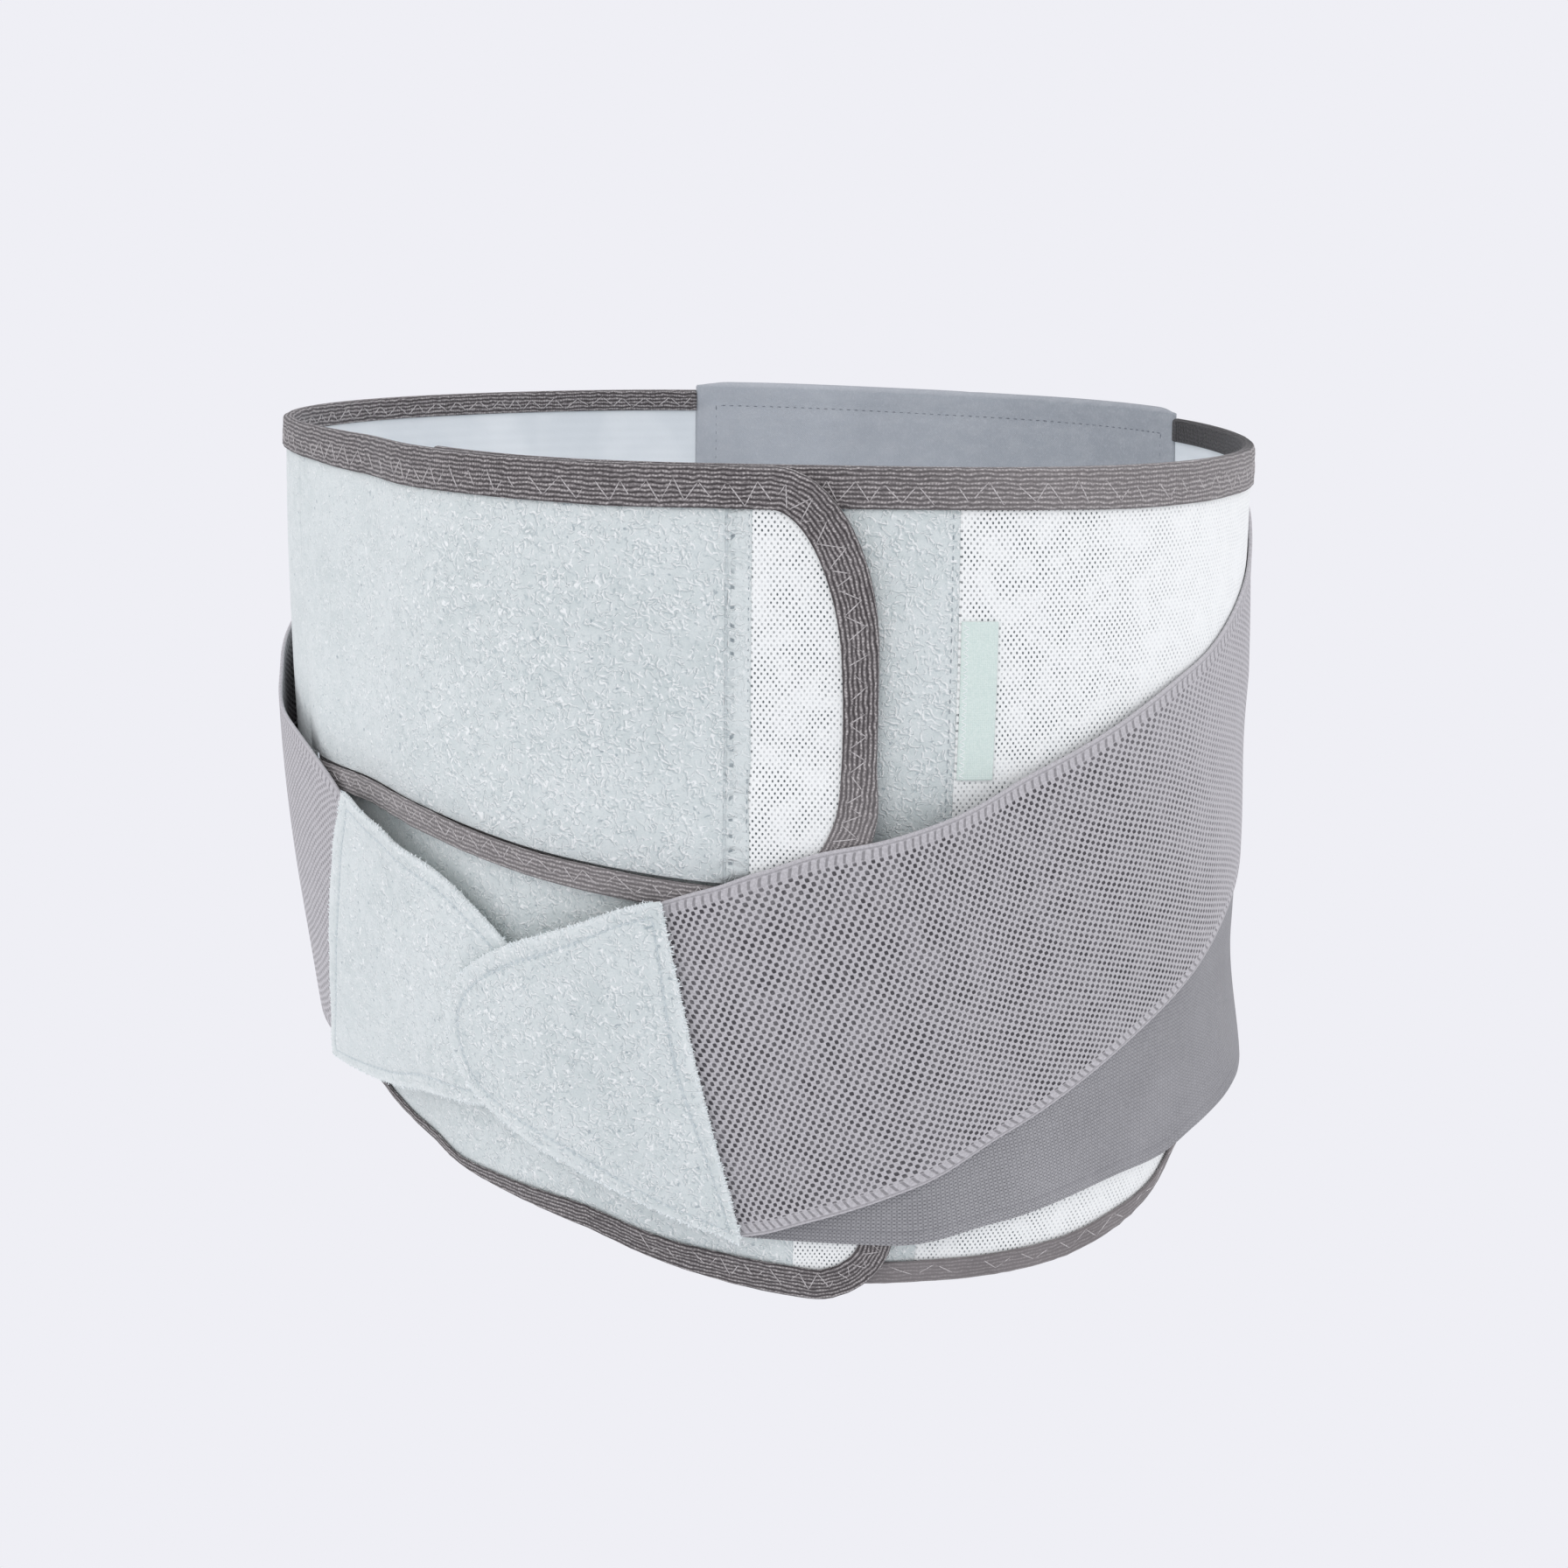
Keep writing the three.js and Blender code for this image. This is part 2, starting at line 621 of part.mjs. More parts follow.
// On the left-hand side the straps run down off the two tongues' ends
const onTongues = (s) => smooth(ramp(s, LOWER_TONGUE_END + RUN_DOWN_TO, LOWER_TONGUE_END + RUN_DOWN_FROM));
const standOff = (s, drop) => HIP_STANDOFF
  * smooth(ramp(s, leftNet.at[0] + 0.6 * (leftSewn - leftNet.at[0]), 0.8 * leftSewn))
  * smooth(ramp(s, leftSewn, 0.9 * leftSewn))
  * smooth(ramp(drop, 0.76 * HIP_HEIGHT, 1.05 * HIP_HEIGHT));
const leftPlainLift = (s, drop) => PLAIN_OVER_PANEL + OVER_LEFT * onTongues(s) + standOff(s, drop);
const leftNetLift = (s, drop) => PLAIN_OVER_PANEL + OVER_STRAP
  + (OVER_LEFT + OVER_SPLIT - PLAIN_OVER_PANEL - OVER_STRAP) * onTongues(s)
  - comeDown(leftPlain, s, drop) * (1 - onTongues(s));

// On the right-hand side they run off the split's root
const onSplit = (s) => smooth(ramp(s, -SPLIT_ROOT - ROOT_RUN_DOWN_TO, -SPLIT_ROOT - ROOT_RUN_DOWN_FROM));
const rightPlainLift = (s) => PLAIN_OVER_PANEL + (OVER_SPLIT - PLAIN_OVER_PANEL) * onSplit(s) + overLeft(s);
const rightNetLift = (s, drop) => rightPlainLift(s) + OVER_STRAP
  - comeDown(rightPlain, s, drop) * (1 - onSplit(s));

const strap = (outline, inner) => sheet({ ...outline, inner, thick: STRAP_THICK });
add('left_plain_strap', strap(leftPlain, leftPlainLift), PLAIN);
add('left_net_strap', strap(leftNet, leftNetLift), NET);
add('right_plain_strap', strap(rightPlain, rightPlainLift), PLAIN);
add('right_net_strap', strap(rightNet, rightNetLift), NET);

// Tabs: at is the share of the length from the wide edge's lower corner to the rounded tip,
// high and low are the shares of the tab's width below its top corner.
const LEFT_TAB = [
  { at: 0, high: 0.985, low: 1 },
  { at: 0.084, high: 0.665, low: 0.965 },
  { at: 0.136, high: 0.44, low: 0.953 },
  { at: 0.188, high: 0.17, low: 0.938 },
  { at: 0.22, high: 0, low: 0.925 },
  { at: 0.32, high: 0.02, low: 0.885 },
  { at: 0.405, high: 0.058, low: 0.855 },
  { at: 0.537, high: 0.11, low: 0.8 },
  { at: 0.709, high: 0.173, low: 0.74 },
  { at: 0.828, high: 0.237, low: 0.69 },
  { at: 0.91, high: 0.293, low: 0.648 },
  { at: 0.963, high: 0.35, low: 0.596 },
  { at: 0.993, high: 0.416, low: 0.516 },
  { at: 1, high: 0.45, low: 0.48 },
];
const RIGHT_TAB = [
  { at: 0, high: 0.975, low: 1 },
  { at: 0.066, high: 0.8, low: 0.995 },
  { at: 0.155, high: 0.474, low: 0.986 },
  { at: 0.249, high: 0.16, low: 0.976 },
  { at: 0.31, high: 0, low: 0.968 },
  { at: 0.36, high: 0.005, low: 0.96 },
  { at: 0.473, high: 0.056, low: 0.925 },
  { at: 0.571, high: 0.1, low: 0.9 },
  { at: 0.716, high: 0.16, low: 0.877 },
  { at: 0.816, high: 0.246, low: 0.84 },
  { at: 0.853, high: 0.288, low: 0.81 },
  { at: 0.944, high: 0.4, low: 0.72 },
  { at: 1, high: 0.53, low: 0.6 },
];

const overStraps = (s) => 2 * OVER_STRAP + overLeft(Math.min(s, rightStrapEnd + TUCK));
const rightTabLift = (s) => OVER_SPLIT + LAY + Math.max(overLeft(s), overStraps(s));
const LEFT_TAB_LIFT = OVER_LEFT + OVER_SPLIT + Math.max(TAB_THICK, STRAP_THICK) + 3 * LAY;

function tab({ table, edge, length, width, drop, toward, lift }) {
  const share = (s) => (toward * (s - edge)) / length;
  const tip = edge + toward * length;
  return sheet({
    at: stations(
      Math.min(edge, tip),
      Math.max(edge, tip),
      table.map((row) => edge + toward * row.at * length),
    ),
    top: (s) => drop + column(table, share(s), 'high') * width,
    bottom: (s) => drop + column(table, share(s), 'low') * width,
    inner: lift,
    thick: TAB_THICK,
    rows: evenRows(width),
  });
}

add('right_tab', tab({
  table: RIGHT_TAB,
  edge: -RIGHT_TAB_EDGE,
  length: RIGHT_TAB_LENGTH,
  width: RIGHT_TAB_WIDTH,
  drop: RIGHT_TAB_DROP,
  toward: 1,
  lift: rightTabLift,
}), FLEECE);
add('left_tab', tab({
  table: LEFT_TAB,
  edge: LEFT_TAB_EDGE,
  length: LEFT_TAB_LENGTH,
  width: LEFT_TAB_WIDTH,
  drop: LEFT_TAB_DROP,
  toward: -1,
  lift: () => LEFT_TAB_LIFT,
}), FLEECE);

// label in the left seam

add('seam_label', sheet({
  at: [LEFT_SEAM + SEAM_GAP, LEFT_SEAM + SEAM_GAP + LABEL_WIDTH],
  top: () => LABEL_DROP,
  bottom: () => LABEL_DROP + LABEL_LENGTH,
  inner: () => PANEL_THICK + LAY,
  thick: LABEL_THICK,
  rows: evenRows(LABEL_LENGTH),
}), LABEL);

export default group;
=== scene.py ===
import math

import bpy
import numpy as np
from mathutils import Matrix, Vector


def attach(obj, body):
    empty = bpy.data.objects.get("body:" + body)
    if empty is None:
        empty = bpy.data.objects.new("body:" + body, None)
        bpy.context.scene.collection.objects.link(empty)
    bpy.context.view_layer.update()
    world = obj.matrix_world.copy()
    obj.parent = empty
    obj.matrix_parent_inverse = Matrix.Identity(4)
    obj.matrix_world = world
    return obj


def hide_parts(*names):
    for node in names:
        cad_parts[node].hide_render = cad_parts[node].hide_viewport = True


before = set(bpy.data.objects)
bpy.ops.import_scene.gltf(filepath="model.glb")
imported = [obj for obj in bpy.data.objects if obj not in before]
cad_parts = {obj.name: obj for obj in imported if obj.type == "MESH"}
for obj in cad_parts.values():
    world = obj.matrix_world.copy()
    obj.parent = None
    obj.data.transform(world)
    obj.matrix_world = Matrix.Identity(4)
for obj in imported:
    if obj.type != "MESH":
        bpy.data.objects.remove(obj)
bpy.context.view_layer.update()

# Lengths are in millimetres until a mesh is made. A place on the cloth is s along the girth at the
# top rim (0 at the belly, plus toward the wearer's left), drop below the rim and lift off the body.
MM = 0.001

# Body surface
WIDTH, DEPTH = 313.4, 247.9
FORM = ((1, 0.0766), (2, -0.1152), (3, -0.0121), (4, 0.0104), (5, 0.0251), (6, 0.0044))
BELLY_SWELL, BELLY_DRAW_IN, BACK_FLARE = 0.1, 0.258, 0.033

# Heights
FRONT, HIP, BACK, PAD_RISE = 250.0, 198.0, 212.0, 1.5
SPLIT_DROP, SPLIT_RISE = 125.5, 14.5

# Places along the girth
PAD_HALF, PAD_TURN = 100.0, 13.0
LEFT_END, LEFT_SEAM = -42.0, 114.0
UPPER_SEAM, UPPER_END = 59.0, 92.2
LOWER_SEAM, LOWER_END = 73.0, 104.5
SPLIT_ROOT, RIGHT_SEAM = -128.0, -185.0

# Corners of the tongues, run along the girth and drop
UPPER_CORNER, UNDER_CORNER, LOWER_CORNER = (28.0, 50.0), (31.0, 33.0), (26.0, 23.0)

# Cloths and the gaps between them
PANEL, PAD, PAD_IN, TAPE, STRAP, TAB, LABEL = 1.6, 5.0, 2.0, 0.8, 1.2, 1.6, 0.5
TAPE_WIDE, TAPE_INSIDE = 10.6, 7.5
LAY, GAP, TUCK, SPLIT_LAP = 0.3, 0.4, 4.0, 14.0

# Straps, tabs and label
SEWN_BEFORE, NET_WIDE, PLAIN_WIDE, NARROWING, STANDOFF = 26.0, 111.0, 96.5, 6.0, 8.0
UNDER_TAB, RIGHT_OVER, TOPSTITCH = 31.0, 10.0, 5.1
LEFT_TAB_AT = {"edge": 56.7, "length": 92.0, "width": 106.5, "drop": 120.0, "toward": -1}
RIGHT_TAB_AT = {"edge": -125.5, "length": 133.0, "width": 98.0, "drop": 108.6, "toward": 1}
LABEL_WIDE, LABEL_LONG, LABEL_DROP = 9.6, 44.0, 41.5


# Body surface

def smooth(x):
    t = np.clip(x, 0, 1)
    return t * t * (3 - 2 * t)


def ramp(x, a, b):
    return np.clip((x - a) / (b - a), 0, 1)


def blend(x, a, b):
    """Eases from 0 at a to 1 at b."""
    return smooth(ramp(x, a, b))


def bell(x, wide):
    return np.exp(-((x / wide) ** 2))


def read(table, at):
    """Values of a table of (share, value), softened between its rows."""
    x, y = np.array(table, float).T
    slope = np.gradient(y, x)
    secant = np.diff(y) / np.diff(x)
    for i in range(1, len(x) - 1):
        if secant[i - 1] * secant[i] <= 0:
            slope[i] = 0
        else:
            slope[i] = 2 * secant[i - 1] * secant[i] / (secant[i - 1] + secant[i])
    at = np.clip(at, x[0], x[-1])
    i = np.clip(np.searchsorted(x, at, side="right") - 1, 0, len(x) - 2)
    h = x[i + 1] - x[i]
    t = (at - x[i]) / h
    return (
        (1 + 2 * t) * (1 - t) ** 2 * y[i]
        + t * (1 - t) ** 2 * h * slope[i]
        + t * t * (3 - 2 * t) * y[i + 1]
        + t * t * (t - 1) * h * slope[i + 1]
    )


def norms(vectors):
    return np.linalg.norm(vectors, axis=1, keepdims=True)


def lengths(points):
    """Length run along a line of points."""
    return np.r_[0, np.cumsum(np.linalg.norm(np.diff(points, axis=0), axis=1))]


def form_xy(theta):
    r = 1 + sum(share * np.cos(waves * theta) for waves, share in FORM)
    return r * np.sin(theta), -r * np.cos(theta)


ANGLES = np.linspace(-np.pi, np.pi, 2881)
fx, fy = form_xy(ANGLES)
SCALE = np.array([WIDTH / np.ptp(fx), DEPTH / np.ptp(fy)])
RIM = np.stack([fx * SCALE[0], fy * SCALE[1]], 1)
RIM_LENGTH = np.r_[0, np.cumsum(np.hypot(*np.diff(RIM, axis=0).T))]
GIRTH = RIM_LENGTH[-1]
BELLY_AT = RIM_LENGTH[len(ANGLES) // 2]
CENTRE = (RIM.min(0) + RIM.max(0)) / 2


def on_body(s, drop, lift):
    s, drop, lift = np.broadcast_arrays(*(np.asarray(v, float) for v in (s, drop, lift)))
    turns = np.floor((s + BELLY_AT) / GIRTH)
    theta = np.interp(s + BELLY_AT - turns * GIRTH, RIM_LENGTH, ANGLES)
    x, y = form_xy(theta)
    x, y = x * SCALE[0], y * SCALE[1]
    front = smooth((1 + np.cos(theta)) / 2)
    down = drop / FRONT
    grow = 1 + front * (BELLY_SWELL * down - BELLY_DRAW_IN * down**2) + (1 - front) * BACK_FLARE * down
    far = np.hypot(x, y)
    k = grow + lift / far
    return np.stack([x * k - CENTRE[0], y * k - CENTRE[1], FRONT / 2 - drop], -1)


def noise(u, v, seed):
    """Smooth noise from -1 to 1, one bump for each unit of u and v."""
    grid = np.random.RandomState(seed).uniform(-1, 1, (64, 64))
    i, j = np.floor(u).astype(int), np.floor(v).astype(int)
    a, b = smooth(u - i), smooth(v - j)
    g = lambda p, q: grid[p % 64, q % 64]
    return (g(i, j) * (1 - a) + g(i + 1, j) * a) * (1 - b) + (
        g(i, j + 1) * (1 - a) + g(i + 1, j + 1) * a
    ) * b


def ease(s, drop):
    """How far the worn belt as a whole stands in or out, the same for every layer."""
    wave = 0.55 * noise(s / 46 + 9, drop / 60 + 3, 1) + 0.22 * noise(s / 19 + 31, drop / 34 + 7, 2)
    waist = 2.6 * np.exp(-(((s - 222) / 45) ** 2) - ((drop - 100) / 42) ** 2)
    return wave * blend(drop, -4, 26) - waist


# Outlines and lifts of the layers, as the solids have them

LEFT_BOTTOM = (
    (-0.13, 0.36), (0, 0.48), (0.1, 0.66), (0.2, 0.83), (0.27, 0.895), (0.364, 0.86), (0.466, 0.78),
    (0.54, 0.635), (0.58, 0.49), (0.612, 0.25), (0.646, 0.08), (0.689, 0), (1, 0),
)
RIGHT_BOTTOM = (
    (-1, 0), (-0.544, 0), (-0.437, 0.06), (-0.34, 0.22), (-0.291, 0.36), (-0.243, 0.45),
    (-0.078, 0.53), (0.01, 0.61), (0.066, 0.73), (0.12, 0.835), (0.194, 0.94), (0.252, 0.98), (1, 0.98),
)
PANEL_RUN = GIRTH / 2 - PAD_HALF
LEFT_AT, RIGHT_AT = PANEL_RUN - PAD_TURN, -PANEL_RUN - PAD_TURN


def bottom_edge(table, s):
    share = s / PANEL_RUN
    return (
        HIP
        + (FRONT - HIP) * read(table, share)
        + (BACK - HIP) * blend(np.abs(share), 0.84, 1.14)
    )


def left_bottom(s):
    return bottom_edge(LEFT_BOTTOM, s)


def right_bottom(s):
    return bottom_edge(RIGHT_BOTTOM, s)


def split_edge(s):
    return SPLIT_DROP - SPLIT_RISE * blend(s, 0.87 * UPPER_END, 0.59 * SPLIT_ROOT)


EDGE = TAPE + LAY
TAPE_OUT, TAPE_IN = PANEL + LAY + TAPE, LAY + TAPE
OVER_LEFT = TAPE_OUT + LAY + TAPE_IN
OVER_LOWER = PANEL + LAY + TAPE_IN
PLAIN_OVER = TAPE_OUT + 2 * LAY
OVER_STRAP = STRAP + LAY
OVER_SPLIT = OVER_LOWER + TAPE_OUT + LAY


def quarter(x):
    return 1 - np.sqrt(np.clip(1 - x * x, 0, 1))


def corner_cut(s, end, corner):
    return corner[1] * quarter(ramp(s, end - corner[0], end))


def over_left(s):
    return OVER_LEFT * blend(s, LEFT_END - 44, LEFT_END - 6)


def over_lower(s, drop):
    edge = split_edge(s)
    return OVER_LOWER * blend(drop, edge - 47, edge - 32) * ramp(s, SPLIT_ROOT, SPLIT_ROOT + 18)


def lower_lift(s, drop):
    return over_left(s) + ease(s, drop)


def upper_lift(s, drop):
    return over_left(s) + over_lower(s, drop) + ease(s, drop)


# Making meshes

def grid_lines(start, end, step, edge=0.35, extra=()):
    """Even lines from start to end, with one close to each end so that only the edge is round."""
    n = max(2, int(round((end - start) / step)))
    lines = np.r_[np.linspace(start, end, n + 1), start + edge, end - edge, np.array(extra, float)]
    lines = np.unique(np.round(lines, 4))
    keep = [lines[0]]
    for x in lines[1:]:
        if x - keep[-1] > 0.12:
            keep.append(x)
    return np.array(keep)


def add(name, data):
    obj = bpy.data.objects.new(name, data)
    bpy.context.scene.collection.objects.link(obj)
    return obj


def make(name, points, faces, uvs=None, materials=(), face_material=None):
    mesh = bpy.data.meshes.new(name)
    mesh.from_pydata((np.asarray(points) * MM).tolist(), [], faces)
    for m in materials:
        mesh.materials.append(m)
    if face_material is not None:
        mesh.polygons.foreach_set("material_index", np.asarray(face_material, np.int32))
    if uvs is not None:
        index = np.empty(len(mesh.loops), np.int32)
        mesh.loops.foreach_get("vertex_index", index)
        uv = (np.asarray(uvs)[index] * MM).astype(np.float32).ravel()
        mesh.uv_layers.new(name="UVMap").data.foreach_set("uv", uv)
    mesh.polygons.foreach_set("use_smooth", np.ones(len(mesh.polygons), bool))
    mesh.validate()
    mesh.update()
    return add(name, mesh)


def cloth(name, s, drop, inner, thick, look, uv=None, relief=None, round_by=0.35, lining=None):
    """A closed sheet of cloth over a grid of places (rows by columns), with rounded edges."""
    rows, cols = s.shape
    low = inner(s, drop)
    high = low + (thick(s, drop) if callable(thick) else thick)
    if relief is not None:
        high = high + relief(s, drop)
    outside, inside = on_body(s, drop, high), on_body(s, drop, low)
    ids = np.arange(rows * cols).reshape(rows, cols)
    ring = np.r_[ids[0, :], ids[1:, -1], ids[-1, -2::-1], ids[-2:0:-1, 0]]
    within = np.r_[ids[1, :], ids[1:, -2], ids[-2, -2::-1], ids[-2:0:-1, 1]]
    flat_out, flat_in = outside.reshape(-1, 3), inside.reshape(-1, 3)
    away = flat_out[ring] - flat_out[within]
    away /= norms(away) + 1e-9
    deep = norms(flat_out[ring] - flat_in[ring])
    middle = (flat_out[ring] + flat_in[ring]) / 2 + away * deep * round_by
    n = rows * cols
    points = np.vstack([flat_out, flat_in, middle])
    quads = np.stack([x.ravel() for x in (ids[:-1, :-1], ids[1:, :-1], ids[1:, 1:], ids[:-1, 1:])], 1)
    rim = 2 * n + np.arange(len(ring))
    beyond, after = np.roll(rim, -1), np.roll(ring, -1)
    faces = np.vstack([
        quads, quads[:, [0, 3, 2, 1]] + n,
        np.stack([ring, after, beyond, rim], 1), np.stack([rim, beyond, n + after, n + ring], 1),
    ])
    which = np.zeros(len(faces), int)
    if lining is not None:
        which[len(quads):2 * len(quads)] = 1
    uvs = np.stack([x.ravel() for x in uv or (s, drop)], 1)
    mats = [look, lining] if lining is not None else [look]
    return make(name, points, faces.tolist(), np.vstack([uvs, uvs, uvs[ring]]), mats, which)


def panel_grid(lines, top, bottom, step=4.0, extra=()):
    """Places over a panel from its top edge to its bottom edge."""
    t, b = top(lines), bottom(lines)
    high = float(np.max(b - t))
    rows = grid_lines(0, high, step, extra=extra) / high
    s = np.repeat(lines[None, :], len(rows), 0)
    return s, t[None, :] + rows[:, None] * (b - t)[None, :]


def round_faces(ids):
    """Faces between lines of points that each run round and close."""
    nxt = np.roll(ids, -1, 1)
    return np.stack([x.ravel() for x in (ids[:-1], nxt[:-1], nxt[1:], ids[1:])], 1)


def tape(name, s, drop, into, inner, look, wide):
    """Binding folded over a cloth's edge: a rounded channel carried along the edge."""
    out = PANEL + LAY
    top, low = out + TAPE, -LAY - TAPE
    mid, r = (top + low) / 2, (top - low) / 2
    turn = np.linspace(math.pi / 2, -math.pi / 2, 9)
    fold = [(1.25 * (1 - math.cos(t)), mid + r * math.sin(t)) for t in turn]
    rows = []
    for w in wide:
        section = [(w, out + 0.25), (w - 0.02, top - 0.22), (w - 0.3, top)]
        section += [(x, top) for x in np.linspace(w - 0.3, 1.6, 8)[1:]] + fold
        section += [(x, low) for x in (2.2, 3.8, 5.4)]
        section += [(TAPE_INSIDE - 0.3, low), (TAPE_INSIDE, low + 0.3), (TAPE_INSIDE, -LAY - 0.05)]
        section += [(1.6, -LAY), (0.9, 0.3), (0.9, out - 0.3), (1.6, out)]
        rows.append(section)
    sec = np.array(rows)
    inset, side = sec[:, :, 0], sec[:, :, 1]
    ps, pd = s[:, None] + into[:, None, 0] * inset, drop[:, None] + into[:, None, 1] * inset
    worn = np.where(side > out, 0.22 * noise(ps / 2.7, pd / 2.7, 33), 0)
    points = on_body(ps, pd, inner(ps, pd) + side + worn)
    n, m = inset.shape
    u = np.repeat(lengths(points[:, 10])[:, None], m, 1)
    across = np.hypot(np.diff(inset, axis=1), np.diff(side, axis=1))
    v = np.hstack([np.zeros((n, 1)), np.cumsum(across, 1)])
    ids = np.arange(n * m).reshape(n, m)
    faces = round_faces(ids).tolist()
    faces += [ids[0, ::-1].tolist(), ids[-1].tolist()]
    return face_out(make(name, points.reshape(-1, 3), faces, np.stack([u.ravel(), v.ravel()], 1), [look]))


def face_out(obj):
    """Turns the mesh's faces outward where they were made the other way round."""
    mesh = obj.data
    volume = 0.0
    for p in mesh.polygons:
        co = [mesh.vertices[i].co for i in p.vertices]
        for i in range(1, len(co) - 1):
            volume += co[0].dot(co[i].cross(co[i + 1]))
    if volume < 0:
        mesh.flip_normals()
    return obj


def threads(name, runs, radius, look):
    """Sewing thread: each run is (start, end, normal, part of the radius that it stands up by)."""
    sides, steps, sink = 5, 3, 0.6
    points, faces, uvs = [], [], []
    turn = np.arange(sides) * 2 * math.pi / sides
    for a, b, normal, stand in runs:
        a, b, normal = (np.asarray(v, float) for v in (a, b, normal))
        along = b - a
        length = np.linalg.norm(along)
        along = along / length
        side = np.cross(normal, along)
        side /= np.linalg.norm(side)
        up = np.cross(along, side)
        base = len(points)
        for i in range(steps + 1):
            t = i / steps
            arch = math.sin(math.pi * t)
            r = radius * (0.55 + 0.45 * arch**0.5)
            mid = a + along * length * t + up * radius * (stand * arch**0.6 - sink)
            for k in turn:
                points.append(mid + r * (math.cos(k) * side + math.sin(k) * up))
                uvs.append((length * t, k))
        for first in range(base, base + steps * sides, sides):
            for k in range(sides):
                p, q = first + k, first + (k + 1) % sides
                faces.append((p, q, q + sides, p + sides))
        faces.append(tuple(range(base + sides - 1, base - 1, -1)))
        faces.append(tuple(range(len(points) - sides, len(points))))
    return make(name, np.array(points), faces, np.array(uvs), [look])


def normal_at(s, drop, lift):
    e = 0.5
    a = on_body(s + e, drop, lift) - on_body(s - e, drop, lift)
    b = on_body(s, drop + e, lift) - on_body(s, drop - e, lift)
    n = np.cross(b, a)
    return n / np.linalg.norm(n)


def sew(path, lift, stitch, gap, stand):
    """Stitches along a path of (s, drop) places. lift gives the cloth's outer face there."""
    s, drop = np.asarray(path, float).T
    run = lengths(on_body(s, drop, lift(s, drop)))
    out, at = [], 0.0
    while at + stitch < run[-1]:
        a, b = ((np.interp(t, run, s), np.interp(t, run, drop)) for t in (at, at + stitch))
        p, q = on_body(*a, lift(*a)), on_body(*b, lift(*b))
        out.append((p, q, normal_at((a[0] + b[0]) / 2, (a[1] + b[1]) / 2, 0), stand))
        at += stitch + gap
    return out


def column(at, top, low, n=60):
    """Places down a line at s."""
    return np.stack([np.full(n, at), np.linspace(top, low, n)], 1)


# Materials

def srgb(r, g, b):
    f = lambda c: c / 12.92 if c <= 0.04045 else ((c + 0.055) / 1.055) ** 2.4
    return tuple(f(c / 255) for c in (r, g, b)) + (1.0,)


